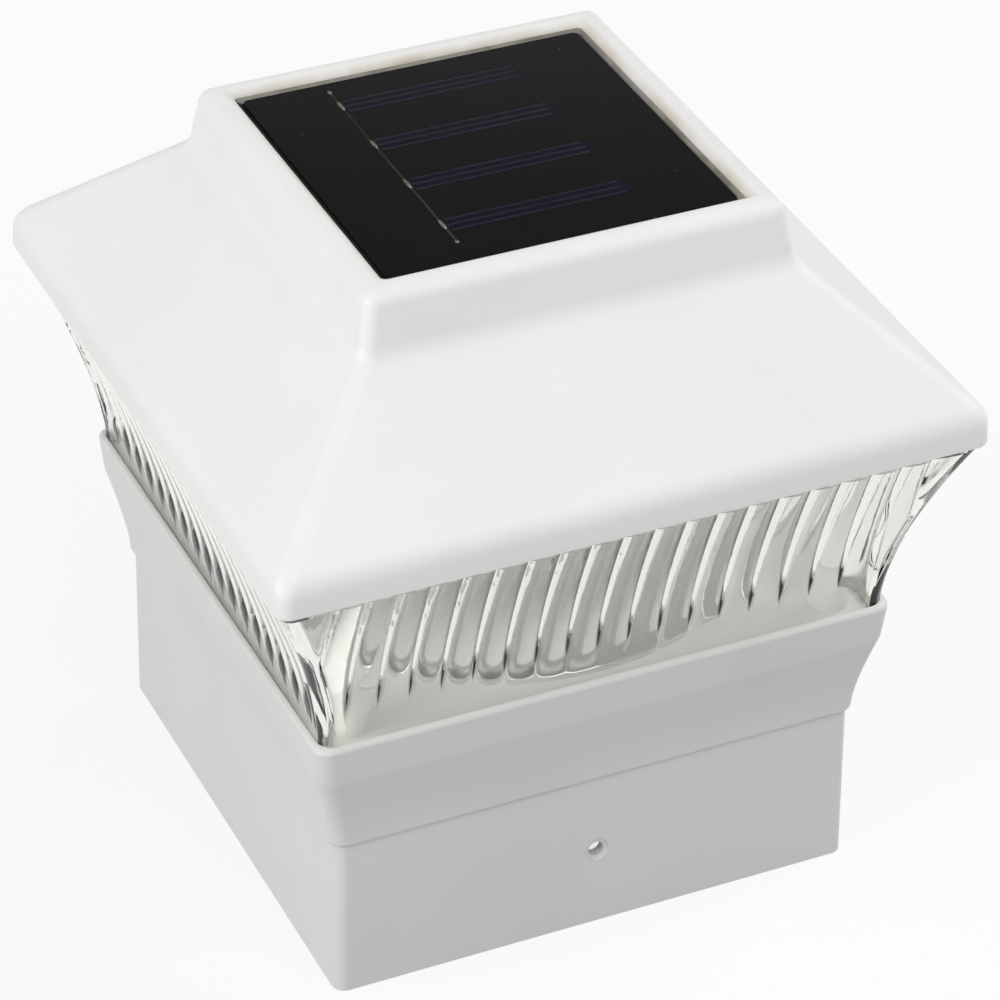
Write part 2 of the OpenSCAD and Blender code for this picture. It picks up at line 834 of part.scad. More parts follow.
// Solder joints on the ribbon, one at each cell and one at the front end
module panel_solder() {
    joint_y = concat(
        [for (i = [0:cell_rows - 1]) cell_row_y(i) + 0.6],
        [cell_row_y(cell_rows - 1) - ribbon_over + 0.8]
    );
    color("lightgray")
        for (i = [0:cell_rows])
            let (long = i < cell_rows ? 1.8 : 0.7)
            block([ribbon_x - 0.6, joint_y[i] - long, z_board_top + trace_t],
                  [ribbon_x + 0.6, joint_y[i] + long, z_board_top + 2 * trace_t]);
}

// Clear cover that bears on the board along its edge
module panel_cover() {
    color("lightsteelblue", 0.3) difference() {
        slab(board_half, board_corner, z_board_top, z_cover);
        slab(board_half - cover_lip, board_corner, z_board_top - cut, z_board_top + cover_room);
    }
}

// ================= reflector and diode =================

module reflector_dish() {
    rise = function (r) dish_depth
        * pow((r - dish_flat_r) / (dish_inner_r - dish_flat_r), 1.6) - dish_depth;
    bowl_r = [for (i = [0:dish_steps])
        dish_flat_r + (dish_inner_r - dish_flat_r) * i / dish_steps];
    hole = led_r + led_hole_gap;
    color("silver") rotate_extrude() polygon(concat(
        [[hole, z_dish - dish_depth]],
        [for (r = bowl_r) [r, z_dish + rise(r)]],
        [[dish_r - 0.4, z_dish], [dish_r, z_dish - 0.4], [dish_r, z_dish - dish_t]],
        [for (i = [dish_steps:-1:0]) [bowl_r[i], z_dish - dish_t + rise(bowl_r[i])]],
        [[hole, z_dish - dish_t - dish_depth]]
    ));
}

module led_spacer() {
    color("black") difference() {
        rod(led_flange_r + 0.3, pcb_top, z_led_flange);
        for (x = [-leg_x, leg_x]) translate([x, 0, 0])
            rod(leg_r + leg_hole_gap, pcb_top - cut, z_led_flange + cut);
    }
}

module led_lamp() {
    z_dome = z_led_flange + led_body_h;
    color("lemonchiffon") {
        rotate_extrude() polygon(concat(
            [[0, z_led_flange], [led_flange_r, z_led_flange],
             [led_flange_r, z_led_flange + led_flange_t], [led_r, z_led_flange + led_flange_t]],
            [for (a = [0:15:90]) [led_r * cos(a), z_dome + led_r * sin(a)]]
        ));
        for (x = [-leg_x, leg_x]) translate([x, 0, 0])
            rod(leg_r, pcb_z - leg_below, z_led_flange + 0.5);
    }
}

// ================= screws =================

module head_screws() {
    color("lightgray") at_corners(post_xy) difference() {
        union() {
            rod(screw_head_r, z_head_seat - screw_head_h, z_head_seat);
            rod(screw_r, z_head_seat - 0.5, z_head_seat + head_screw_len);
        }
        cross_slot(z_head_seat - screw_head_h, 1.6);
    }
}

module sleeve_screws() {
    color("lightgray") at_corners(sleeve_post_xy) difference() {
        union() {
            translate([0, 0, z_flange]) cylinder(h = csk_h, r1 = screw_head_r, r2 = screw_r);
            rod(screw_r, z_flange + 0.2, z_flange + sleeve_screw_len);
        }
        cross_slot(z_flange, 1.4);
    }
}

// Cross recess of half length reach, cut upward into a head that starts at z
module cross_slot(z, reach) {
    for (a = [0, 90]) rotate([0, 0, a])
        block([-reach, -0.3, z - cut], [reach, 0.3, z + 0.8]);
}

module board_screws() {
    color("goldenrod") for (p = pcb_posts) translate([p.x, p.y, 0]) {
        rod(pcb_screw_head_r, pcb_top, pcb_top + pcb_screw_head_h);
        rod(pcb_screw_r, pcb_top - pcb_screw_len, pcb_top + 0.5);
    }
}

// ================= electronics bay =================

module bay_plate() {
    color("gainsboro") difference() {
        union() {
            slab(plate_half, plate_corner, z_shut, z_plate);
            difference() {
                block([minus_wall_x - bay_wall, bay_y - bay_half_y - bay_wall, z_plate - 0.2],
                      [plus_wall_x + bay_wall, bay_y + bay_half_y + bay_wall, bay_top]);
                block([minus_wall_x, bay_y - bay_half_y, z_shut - cut],
                      [plus_wall_x, bay_y + bay_half_y, bay_top + cut]);
            }
            for (p = pcb_posts) translate([p.x, p.y, 0]) rod(pcb_post_r, z_plate - 0.5, pcb_z);
        }
        at_corners(sleeve_post_xy) rod(hole_r, z_shut - cut, z_plate + cut);
        for (p = pcb_posts) translate([p.x, p.y, 0])
            rod(pcb_screw_r + screw_gap, pcb_top - pcb_screw_len - 0.5, pcb_z + cut);
        block([door_left - door_gap, bay_y - door_half_y - door_gap, z_shut - cut],
              [door_pivot_x + door_gap, bay_y + door_half_y + door_gap, z_shut + recess_t]);
        block([opening_left, bay_y - bay_half_y, z_shut], [opening_right, bay_y + bay_half_y,
              z_plate + cut]);
        for (side = [-1, 1]) translate([0, bay_y + side * tongue_y, 0])
            block([opening_right - cut, -tongue_w / 2 - door_gap, z_shut],
                  [door_pivot_x + door_gap, tongue_w / 2 + door_gap, z_plate + notch_h]);
        translate([switch_x, switch_y, 0])
            block([-(switch_travel + knob_x) / 2 - 0.5, -knob_y / 2 - 0.6, z_shut - cut],
                  [(switch_travel + knob_x) / 2 + 0.5, knob_y / 2 + 0.6, z_plate + cut]);
    }
}

// Door with two tongues that hook over the plate and a springy latch at the other end
module battery_door() {
    ridge = [0.6, 10, 0.4];
    color("gainsboro") translate([0, bay_y, 0]) {
        difference() {
            block([door_left, -door_half_y, z_shut], [door_pivot_x, door_half_y, z_shut + door_t]);
            for (side = [-1, 1]) translate([door_left - cut, side * latch_w / 2, 0])
                block([0, -slit_w / 2, z_shut - cut],
                      [latch_len + cut, slit_w / 2, z_shut + door_t + cut]);
        }
        for (i = [0:2]) translate([door_left + 12 + 2 * i, -ridge.y / 2, z_shut - ridge.z])
            cube([ridge.x, ridge.y, ridge.z + 0.2]);
        for (side = [-1, 1]) translate([0, side * tongue_y - tongue_w / 2, 0]) {
            block([door_pivot_x - 0.3 - tongue_root, 0, z_shut + door_t - 0.2],
                  [door_pivot_x - 0.3, tongue_w, z_plate + tongue_gap + tongue_t]);
            block([door_pivot_x - 0.3 - tongue_root, 0, z_plate + tongue_gap],
                  [door_pivot_x + tongue_reach, tongue_w, z_plate + tongue_gap + tongue_t]);
        }
    }
}

module battery() {
    color("seagreen") translate([0, bay_y, battery_z]) rotate([0, 90, 0]) rotate_extrude()
        polygon([
            [0, can_left], [battery_d / 2 - 1.2, can_left], [battery_d / 2 - 0.4, can_left + 0.3],
            [battery_d / 2, can_left + 0.8], [battery_d / 2, can_right - 0.8],
            [battery_d / 2 - 0.6, can_right - 0.2], [battery_d / 2 - 1.6, can_right],
            [button_r, can_right], [button_r, can_right + button_len - 0.3],
            [button_r - 0.3, can_right + button_len], [0, can_right + button_len]
        ]);
}

// Contact plate that stands between the side walls, from z0 to its solder tab
module contact_plate(x, z0) {
    half = bay_half_y - seal_gap;
    block([x, bay_y - half, z0], [x + contact_t, bay_y + half, bay_top]);
    block([x, bay_y - half, bay_top - 0.2], [x + contact_t, bay_y - half + 4,
          bay_top + contact_tab]);
}

module positive_contact() {
    color("silver") contact_plate(plus_x, z_plate + notch_h + 0.1);
}

module negative_contact() {
    color("silver") contact_plate(minus_x - contact_t, z_plate + 0.1);
}

// Conical spring between the negative plate and the can
module battery_spring() {
    turns = 4;
    steps = 12;
    wire_r = 0.35;
    wide = 5;
    narrow = 3;
    run = spring_len - 2 * wire_r - 0.1;
    color("silver") tube([
        for (i = [0:turns * steps])
            let (t = i / (turns * steps), a = 360 * i / steps, r = wide + (narrow - wide) * t)
            [minus_x + wire_r + 0.05 + run * t, bay_y + r * cos(a), battery_z + r * sin(a)]
    ], wire_r, 6, [1, 0, 0]);
}

module driver_board() {
    color("darkgreen") difference() {
        block([-pcb_half_x, pcb_front, pcb_z], [pcb_half_x, pcb_back, pcb_top]);
        for (p = pcb_posts) translate([p.x, p.y, 0])
            rod(pcb_screw_r + screw_gap, pcb_z - cut, pcb_top + cut);
        for (x = [-leg_x, leg_x]) translate([x, 0, 0])
            rod(leg_r + leg_hole_gap, pcb_z - cut, pcb_top + cut);
    }
}

// Choke, capacitor, charge controller and two small resistors
module board_parts() {
    color("dimgray") {
        translate(choke_at) rod(choke_r, pcb_top, pcb_top + choke_h);
        translate(capacitor_at) rod(capacitor_r, pcb_top, pcb_top + capacitor_h);
        translate([chip_at.x, chip_at.y, pcb_top]) cube(chip_size);
        for (p = resistors_at) translate([p.x, p.y, pcb_top]) cube(resistor_size);
    }
}

module switch_body() {
    half_x = (switch_travel + shoe_x) / 2 + 0.3;
    half_y = shoe_y / 2 + 0.15;
    color("dimgray") translate([switch_x, switch_y, 0]) difference() {
        block([-half_x - switch_wall, -half_y - switch_wall, z_switch],
              [half_x + switch_wall, half_y + switch_wall, pcb_z]);
        block([-half_x, -half_y, z_switch + switch_floor],
              [half_x, half_y, z_shoe + shoe_h + 0.45]);
        block([-(switch_travel + knob_x) / 2 - knob_gap, -knob_y / 2 - knob_gap, z_switch - cut],
              [(switch_travel + knob_x) / 2 + knob_gap, knob_y / 2 + knob_gap,
               z_switch + switch_floor + 0.1]);
    }
}

// Knob at the off end of its travel, with three grooves across its tip
module switch_knob() {
    color("black") translate([switch_x - switch_travel / 2, switch_y, 0]) difference() {
        union() {
            block([-shoe_x / 2, -shoe_y / 2, z_shoe], [shoe_x / 2, shoe_y / 2, z_shoe + shoe_h]);
            block([-knob_x / 2, -knob_y / 2, z_knob], [knob_x / 2, knob_y / 2, z_shoe + 0.2]);
        }
        for (x = [-1.3, 0, 1.3])
            block([x - 0.25, -knob_y / 2 - cut, z_knob - cut],
                  [x + 0.25, knob_y / 2 + cut, z_knob + 0.4]);
    }
}

// ================= leads =================

// The panel's leads run side by side through the conduit
module panel_lead(side) {
    tube(round_off([for (p = panel_lead) p + [side, -side, 0] * lead_side * 0.75], 2), lead_r);
}

module panel_lead_red() {
    color("red") panel_lead(1);
}

module panel_lead_black() {
    color("black") panel_lead(-1);
}

// Lead from a contact's tab, over the bay's wall and down to the board, towards side
module battery_lead(x, side) {
    y0 = bay_y - bay_half_y;
    tube(round_off([
        [x + side * 0.65, y0 + 2.5, bay_top + contact_tab - 0.3],
        [x + side * 0.65, y0 + 1, bay_top + contact_tab + 0.6],
        [x + side * 1.5, y0 - 2.4, bay_top + 1.4],
        [-side * (battery_lead_x + 2), pcb_back + 0.5, bay_top - 1],
        [-side * battery_lead_x, pcb_back - 2, pcb_top + 2.5],
        [-side * battery_lead_x, pcb_back - 2, pcb_top]
    ], 2), battery_lead_r, 8, [1, 0, 0]);
}

module battery_lead_red() {
    color("red") battery_lead(plus_x, -1);
}

module battery_lead_black() {
    color("black") battery_lead(minus_x, 1);
}

post_sleeve();
base_collar();
lens();
roof_cap();
roof_tray();
roof_seal();
lens_seal();
reflector_dish();
spreader_cone();
wire_conduit();
head_screws();
sleeve_screws();
panel_seal();
panel_board();
panel_cells();
panel_fingers();
panel_ribbon();
panel_solder();
panel_cover();
bay_plate();
battery_door();
battery();
positive_contact();
negative_contact();
battery_spring();
driver_board();
board_parts();
board_screws();
led_spacer();
led_lamp();
switch_body();
switch_knob();
panel_lead_red();
panel_lead_black();
battery_lead_red();
battery_lead_black();
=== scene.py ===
"""Deck post cap light: the looks, built over the packed model."""
import math

import bmesh
import bpy
from mathutils import Matrix, Vector


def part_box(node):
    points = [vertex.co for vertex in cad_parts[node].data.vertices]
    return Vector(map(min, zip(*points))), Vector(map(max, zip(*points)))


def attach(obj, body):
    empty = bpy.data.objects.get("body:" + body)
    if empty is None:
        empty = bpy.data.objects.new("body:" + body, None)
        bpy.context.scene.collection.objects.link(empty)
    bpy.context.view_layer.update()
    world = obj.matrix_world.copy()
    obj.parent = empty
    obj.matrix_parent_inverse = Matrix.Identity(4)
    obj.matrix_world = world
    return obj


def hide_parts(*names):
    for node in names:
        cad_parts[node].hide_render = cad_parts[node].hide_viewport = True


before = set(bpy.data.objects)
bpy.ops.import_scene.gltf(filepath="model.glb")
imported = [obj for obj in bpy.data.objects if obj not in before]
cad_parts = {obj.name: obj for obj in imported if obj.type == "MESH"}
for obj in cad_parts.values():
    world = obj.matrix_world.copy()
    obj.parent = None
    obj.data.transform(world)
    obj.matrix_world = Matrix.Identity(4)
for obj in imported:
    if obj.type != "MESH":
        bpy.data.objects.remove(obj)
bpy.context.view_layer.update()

bl_info = {
    "name": "Deck Post Cap Light",
    "version": (1, 0, 0),
    "blender": (4, 5, 0),
    "location": "View3D > Sidebar > Cap Light",
    "description": "Builds a solar post cap light with its fluted lens and its stage",
    "category": "Add Mesh",
}

MM = 0.001
# points closer than this are one point
MERGE = 0.002 * MM
COLLAR_LOW, COLLAR_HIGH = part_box("base_collar")
LENS_LOW, LENS_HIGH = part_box("lens")
ROOF_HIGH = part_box("roof_cap")[1]
DISH_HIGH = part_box("reflector_dish")[1]
CONE_LOW, CONE_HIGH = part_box("spreader_cone")
COVER_LOW, COVER_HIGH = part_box("panel_cover")
SEAL_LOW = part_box("panel_seal")[0]
PLATE_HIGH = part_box("battery_door")[1]
# screw posts, in the corners of the collar and the roof
POST_XY = 49.5 * MM
POST_RADIUS = 3.5 * MM
POST_LENGTH = 10.5 * MM
POST_EDGE = 0.25 * MM
SCREW_BORE = 1.7 * MM
PILOT_BORE = 1.55 * MM
PILOT_DEPTH = 13 * MM
# posts under the deck that take the sleeve's screws
SLEEVE_POST_XY = 44 * MM
SLEEVE_POST_RADIUS = 3.2 * MM


def size(name, millimetres, description):
    """A length that shows in the sidebar, given in millimetres."""
    return bpy.props.FloatProperty(
        name=name, description=description, default=millimetres * MM, min=0.0, max=1.0,
        unit="LENGTH", subtype="DISTANCE", precision=5)


def linear(code):
    """An sRGB hex value as linear red, green and blue."""
    parts = [int(code[i:i + 2], 16) / 255 for i in (1, 3, 5)]
    return tuple(c / 12.92 if c <= 0.04045 else ((c + 0.055) / 1.055) ** 2.4 for c in parts)


def colour(name, code, description):
    """A colour that shows in the sidebar, given as an sRGB hex value."""
    return bpy.props.FloatVectorProperty(
        name=name, description=description, default=linear(code), min=0.0, max=1.0,
        size=3, subtype="COLOR")


class ShellSettings(bpy.types.PropertyGroup):
    """White mouldings"""
    plastic: colour("Roof plastic", "#F0F0EE", "Colour of the roof's moulding")
    # painted shade: the collar and the sleeve take a darker white than the roof, for the shade
    # under the roof
    lower: colour("Lower plastic", "#DEDFDC", "Colour of the collar's and the sleeve's mouldings")
    ageing: colour("Ageing", "#B39F7C", "Colour of the ageing in the panel's frame")
    collar_flare: size("Collar flare", 5.1, "How far the lip stands out past the sleeve")
    collar_wall: size("Collar wall", 2.0, "Wall of the collar")
    collar_corner: size("Collar corner", 3.2, "Corner radius of the collar")
    lip_thickness: size("Lip", 1.2, "Thickness of the lip round the lens")
    lip_depth: size("Lip depth", 2.2, "Depth of the deck below the lip")
    band_height: size("Band", 8.2, "Height of the collar's upright band")
    roof_corner: size("Roof corner", 3.2, "Corner radius of the roof's rim")
    rim_band: size("Rim band", 3.75, "Height of the roof's upright band")
    rim_round: size("Rim rounding", 6.0, "Rounding between the roof's rim and its slope")
    roof_pitch: bpy.props.FloatProperty(
        name="Roof pitch", description="Slope of the roof from level",
        default=math.radians(42), min=0.3, max=1.0, subtype="ANGLE", unit="ROTATION")
    roof_wall: size("Roof wall", 2.5, "Wall of the roof")
    neck_round: size("Neck rounding", 5.75, "Hollow rounding between the slope and the neck")
    panel_gap: size("Panel gap", 0.9, "Clearance between the panel and its window")
    neck_edge: size("Neck edge", 5.95, "Width of the neck's top round the panel")
    neck_height: size("Neck", 5.5, "Height of the neck's straight wall")
    neck_corner: size("Neck corner", 2.8, "Corner radius of the neck")
    top_round: size("Top rounding", 3.5, "Rounding of the neck's top edge")
    window_round: size("Window rounding", 2.2, "Rounding of the window's upper edge")


class LensSettings(bpy.types.PropertyGroup):
    """Lens and reflector"""
    plastic: colour("Plastic", "#F4F4F0", "Tint of the clear plastic")
    silver: colour("Silvering", "#E4E6E6", "Colour of the silvered dish and cone")
    flute_pitch: size("Flute pitch", 6.25, "Distance from one flute to the next")
    flute_depth: size("Flute depth", 0.95, "Depth of the valleys between the flutes")
    wall: size("Wall", 2.1, "Wall of the lens at a flute's crest")
    corner: size("Corner", 2.4, "Corner radius of the lens")
    plain_foot: size("Plain foot", 2.2, "Height above the lip at which the flutes begin")
    flare_power: bpy.props.FloatProperty(
        name="Flare power", description="More keeps the foot upright for longer",
        default=1.55, min=1.0, max=3.0)
    bowl_depth: size("Bowl depth", 5.0, "Depth of the dish's bowl")


class PanelSettings(bpy.types.PropertyGroup):
    """Solar panel"""
    laminate: colour("Laminate", "#1A1815", "Colour of the panel's black laminate")
    cell: colour("Cells", "#171830", "Colour of the coated strip cells")
    trace: colour("Traces", "#5C5E69", "Colour of the printed fingers")
    ribbon_width: size("Ribbon", 0.5, "Width of the tinned ribbon")
    joint_length: size("Solder joint", 3.7, "Length of a solder joint on the ribbon")


class StageSettings(bpy.types.PropertyGroup):
    """Floor and light"""
    floor: colour("Floor", "#F4F4F4", "Colour of the floor")
    sky_level: bpy.props.FloatProperty(
        name="Sky", description="Strength of the even light from all round", default=0.44)
    left_level: bpy.props.FloatProperty(
        name="Left", description="Power of the soft lamp on the left, in watts", default=9.5)
    front_level: bpy.props.FloatProperty(
        name="Front", description="Power of the high soft lamp in front, in watts", default=6.1)
    right_level: bpy.props.FloatProperty(
        name="Right", description="Power of the soft lamp on the right, in watts", default=6.5)


# ---------------------------------------------------------------- shapes

def square_ring(half, radius, z, steps=10):
    """Points of a rounded square, counter-clockwise."""
    points = []
    for corner, (sx, sy) in enumerate(((1, 1), (-1, 1), (-1, -1), (1, -1))):
        for i in range(steps + 1):
            a = math.pi / 2 * (corner + i / steps)
            points.append((sx * (half - radius) + radius * math.cos(a),
                           sy * (half - radius) + radius * math.sin(a), z))
    return points


def round_ring(x, y, radius, z, count=44):
    """Points of a circle, counter-clockwise."""
    turns = [2 * math.pi * (i + 0.5) / count for i in range(count)]
    return [(x + radius * math.cos(a), y + radius * math.sin(a), z) for a in turns]


def start_mesh():
    """An empty bmesh whose vertices know their place in their loop."""
    bm = bmesh.new()
    bm.verts.layers.int.new("order")
    return bm


def loft(bm, rings, ends="join"):
    """Extrudes a loop of edges from ring to ring, then joins its two ends or caps them."""
    order = bm.verts.layers.int["order"]
    made = bmesh.ops.create_circle(bm, segments=len(rings[0]), radius=1)["verts"]
    for i, vert in enumerate(made):
        vert[order] = i
        vert.co = rings[0][i]
    first = edges = list({edge for vert in made for edge in vert.link_edges})
    for points in rings[1:] + (rings[:1] if ends == "join" else []):
        grown = bmesh.ops.extrude_edge_only(bm, edges=edges)["geom"]
        edges = [g for g in grown if isinstance(g, bmesh.types.BMEdge)]
        for g in grown:
            if isinstance(g, bmesh.types.BMVert):
                g.co = points[g[order]]
    if ends == "cap":
        bmesh.ops.edgeloop_fill(bm, edges=first)
        bmesh.ops.edgeloop_fill(bm, edges=edges)


def spin_profile(bm, profile, steps=96):
    """Turns a closed outline of (radius, z) once round the Z axis."""
    verts = [bm.verts.new((r, 0, z)) for r, z in profile]
    edges = [bm.edges.new((a, b)) for a, b in zip(verts, verts[1:] + verts[:1])]
    bmesh.ops.spin(bm, geom=verts + edges, cent=(0, 0, 0), axis=(0, 0, 1), dvec=(0, 0, 0),
                   angle=2 * math.pi, steps=steps, use_merge=True)


def finish_piece(bm, name, node_name, material, sharp=35, flat_first=False):
    """Turns a bmesh into an object that stands for a CAD node and rides on the cap."""
    bmesh.ops.remove_doubles(bm, verts=bm.verts, dist=MERGE)
    bmesh.ops.recalc_face_normals(bm, faces=bm.faces)
    mesh = bpy.data.meshes.new(name)
    bm.to_mesh(mesh)
    bm.free()
    mesh.shade_smooth()
    mesh.set_sharp_from_angle(angle=math.radians(sharp))
    piece = bpy.data.objects.new(name, mesh)
    bpy.context.scene.collection.objects.link(piece)
    if flat_first:
        modifier = piece.modifiers.new("Broad faces stay flat", "WEIGHTED_NORMAL")
        modifier.keep_sharp = True
        modifier.weight = 60
    mesh.materials.append(material)
    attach(piece, "cap")
    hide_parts(node_name)
    return piece


# ---------------------------------------------------------------- materials

def node(tree, kind, settings=None, links=None):
    """Adds a node; settings fill its sockets or properties, links feed its sockets."""
    made = tree.nodes.new(kind)
    for key, value in (settings or {}).items():
        if isinstance(key, str) and key not in made.inputs:
            setattr(made, key, value)
    for key, value in (settings or {}).items():
        if isinstance(key, int) or key in made.inputs:
            made.inputs[key].default_value = value
    for key, socket in (links or {}).items():
        tree.links.new(socket, made.inputs[key])
    return made


def start_material(name, **sockets):
    """A material whose Principled shader has its constant sockets set."""
    material = bpy.data.materials.new(name)
    material.use_nodes = True
    tree = material.node_tree
    shader = tree.nodes["Principled BSDF"]
    for key, value in sockets.items():
        shader.inputs[key.replace("_", " ")].default_value = value
    place = node(tree, "ShaderNodeTexCoord").outputs["Object"]
    return material, tree, shader, place


def rgba(values, factor=1.0):
    """A colour with full alpha, made lighter or darker by a factor."""
    return tuple(min(1.0, c * factor) for c in values[:3]) + (1.0,)


def per(millimetres):
    """Texture scale that repeats about every so many millimetres."""
    return 1000 / millimetres


def dress(name, material):
    """Gives a CAD node one material."""
    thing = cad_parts[name]
    if not thing.material_slots:
        thing.data.materials.append(material)
    for slot in thing.material_slots:
        slot.material = material


def dust(tree, place, skin, tone, apart, share, cover):
    """Specks that fade out 0.3 mm from their middle, spaced in millimetres; a share shows."""
    cells = node(tree, "ShaderNodeTexVoronoi", {"Scale": per(apart)}, {"Vector": place})
    rim = 0.3 / apart
    speck = node(tree, "ShaderNodeMapRange",
                 {"From Min": rim * 0.6, "From Max": rim, "To Min": cover, "To Max": 0.0},
                 {"Value": cells.outputs["Distance"]})
    lot = node(tree, "ShaderNodeSeparateColor", {}, {"Color": cells.outputs["Color"]})
    some = node(tree, "ShaderNodeMath", {"operation": "LESS_THAN", 1: share},
                {0: lot.outputs["Red"]})
    where = node(tree, "ShaderNodeMath", {"operation": "MULTIPLY"},
                 {0: speck.outputs["Result"], 1: some.outputs[0]})
    return node(tree, "ShaderNodeMix", {"data_type": "RGBA", 7: rgba(tone)},
                {0: where.outputs[0], 6: skin}).outputs[2]


def moulded_abs(name, base, ageing=None):
    """ABS, injection moulded: satin white from the mould's fine spark texture."""
    material, tree, shader, place = start_material(name, Specular_IOR_Level=0.42, IOR=1.53)
    # stains of weather drift over some centimetres
    drift = node(tree, "ShaderNodeTexNoise",
                 {"Scale": per(34), "Detail": 3.0, "Roughness": 0.55}, {"Vector": place})
    tone = node(tree, "ShaderNodeMapRange", {"From Min": 0.3, "From Max": 0.7},
                {"Value": drift.outputs["Fac"]})
    body = node(tree, "ShaderNodeMix", {"data_type": "RGBA", 6: rgba(base, 0.975),
                                        7: rgba(base, 1.01)}, {0: tone.outputs["Result"]})
    # a few specks of grit to a face
    skin = dust(tree, place, body.outputs[2], rgba(base, 0.45), 7.5, 0.12, 0.4)
    if ageing:
        skin = aged_frame(tree, place, skin, ageing)
    tree.links.new(skin, shader.inputs["Base Color"])
    # hands and weather have dulled the skin in places
    wear = node(tree, "ShaderNodeTexNoise", {"Scale": per(11), "Detail": 4.0}, {"Vector": place})
    gloss = node(tree, "ShaderNodeMapRange", {"To Min": 0.36, "To Max": 0.5},
                 {"Value": wear.outputs["Fac"]})
    tree.links.new(gloss.outputs["Result"], shader.inputs["Roughness"])
    # shallow sinks over the ribs, then pits of 0.25 mm, drawn at 0.5 mm to show at all
    sink = node(tree, "ShaderNodeTexNoise", {"Scale": per(26), "Detail": 1.0},
                {"Vector": place})
    wave = node(tree, "ShaderNodeBump", {"Strength": 0.25, "Distance": 0.12 * MM},
                {"Height": sink.outputs["Fac"]})
    pits = node(tree, "ShaderNodeTexNoise",
                {"Scale": per(0.5), "Detail": 2.0, "Roughness": 0.6}, {"Vector": place})
    bump = node(tree, "ShaderNodeBump", {"Strength": 0.12, "Distance": 0.02 * MM},
                {"Height": pits.outputs["Fac"], "Normal": wave.outputs["Normal"]})
    tree.links.new(bump.outputs["Normal"], shader.inputs["Normal"])
    return material


def aged_frame(tree, place, skin, ageing):
    """Tan ageing on the inner faces round the panel, where water stands."""
    clean, aged = 37.6 * MM, 36.0 * MM
    below, above = 140.5 * MM, 141.5 * MM
    axes = node(tree, "ShaderNodeSeparateXYZ", {}, {"Vector": place})
    across, along = [node(tree, "ShaderNodeMath", {"operation": "ABSOLUTE"},
                          {0: axes.outputs[axis]}) for axis in "XY"]
    reach = node(tree, "ShaderNodeMath", {"operation": "MAXIMUM"},
                 {0: across.outputs[0], 1: along.outputs[0]})
    inside = node(tree, "ShaderNodeMapRange", {"From Min": clean, "From Max": aged},
                  {"Value": reach.outputs[0]})
    high = node(tree, "ShaderNodeMapRange", {"From Min": below, "From Max": above},
                {"Value": axes.outputs["Z"]})
    blotch = node(tree, "ShaderNodeTexNoise", {"Scale": per(14), "Detail": 3.0},
                  {"Vector": place})
    patch = node(tree, "ShaderNodeMapRange",
                 {"From Min": 0.36, "From Max": 0.62, "To Min": 0.18, "To Max": 0.6},
                 {"Value": blotch.outputs["Fac"]})
    where = node(tree, "ShaderNodeMath", {"operation": "MULTIPLY"},
                 {0: inside.outputs["Result"], 1: high.outputs["Result"]})
    share = node(tree, "ShaderNodeMath", {"operation": "MULTIPLY"},
                 {0: where.outputs[0], 1: patch.outputs["Result"]})
    return node(tree, "ShaderNodeMix", {"data_type": "RGBA", 7: rgba(ageing)},
                {0: share.outputs[0], 6: skin}).outputs[2]


def moulded_acrylic(name, tint):
    """Acrylic, injection moulded: clear and glossy, with faint flow lines up the wall."""
    material, tree, shader, place = start_material(
        name, Base_Color=rgba(tint), Roughness=0.02, IOR=1.49, Transmission_Weight=1.0)
    upright = node(tree, "ShaderNodeMapping", {"Scale": (1.0, 1.0, 0.16)}, {"Vector": place})
    flow = node(tree, "ShaderNodeTexNoise", {"Scale": per(2.2), "Detail": 2.0},
                {"Vector": upright.outputs["Vector"]})
    bump = node(tree, "ShaderNodeBump", {"Strength": 0.35, "Distance": 0.09 * MM},
                {"Height": flow.outputs["Fac"]})
    tree.links.new(bump.outputs["Normal"], shader.inputs["Normal"])
    return material


def silvered_film(name, base):
    """Aluminium, deposited on moulded plastic: mirror bright, with a slight orange peel."""
    material, tree, shader, place = start_material(name, Base_Color=rgba(base), Metallic=1.0)
    peel = node(tree, "ShaderNodeTexNoise", {"Scale": per(1.6), "Detail": 2.0},
                {"Vector": place})
    bump = node(tree, "ShaderNodeBump", {"Strength": 0.3, "Distance": 0.03 * MM},
                {"Height": peel.outputs["Fac"]})
    tree.links.new(bump.outputs["Normal"], shader.inputs["Normal"])
    haze = node(tree, "ShaderNodeTexNoise", {"Scale": per(12), "Detail": 3.0},
                {"Vector": place})
    gloss = node(tree, "ShaderNodeMapRange", {"To Min": 0.08, "To Max": 0.24},
                 {"Value": haze.outputs["Fac"]})
    tree.links.new(gloss.outputs["Result"], shader.inputs["Roughness"])
    return material


def grained_metal(name, base, roughness, grain):
    """Plated or drawn metal: bright, with its grain in tone and gloss."""
    material, tree, shader, place = start_material(name, Metallic=1.0)
    noise = node(tree, "ShaderNodeTexNoise", {"Scale": per(grain), "Detail": 3.0},
                 {"Vector": place})
    body = node(tree, "ShaderNodeMix", {"data_type": "RGBA", 6: rgba(base, 0.82),
                                        7: rgba(base)}, {0: noise.outputs["Fac"]})
    tree.links.new(body.outputs[2], shader.inputs["Base Color"])
    gloss = node(tree, "ShaderNodeMapRange",
                 {"To Min": roughness * 0.75, "To Max": roughness * 1.3},
                 {"Value": noise.outputs["Fac"]})
    tree.links.new(gloss.outputs["Result"], shader.inputs["Roughness"])
    return material


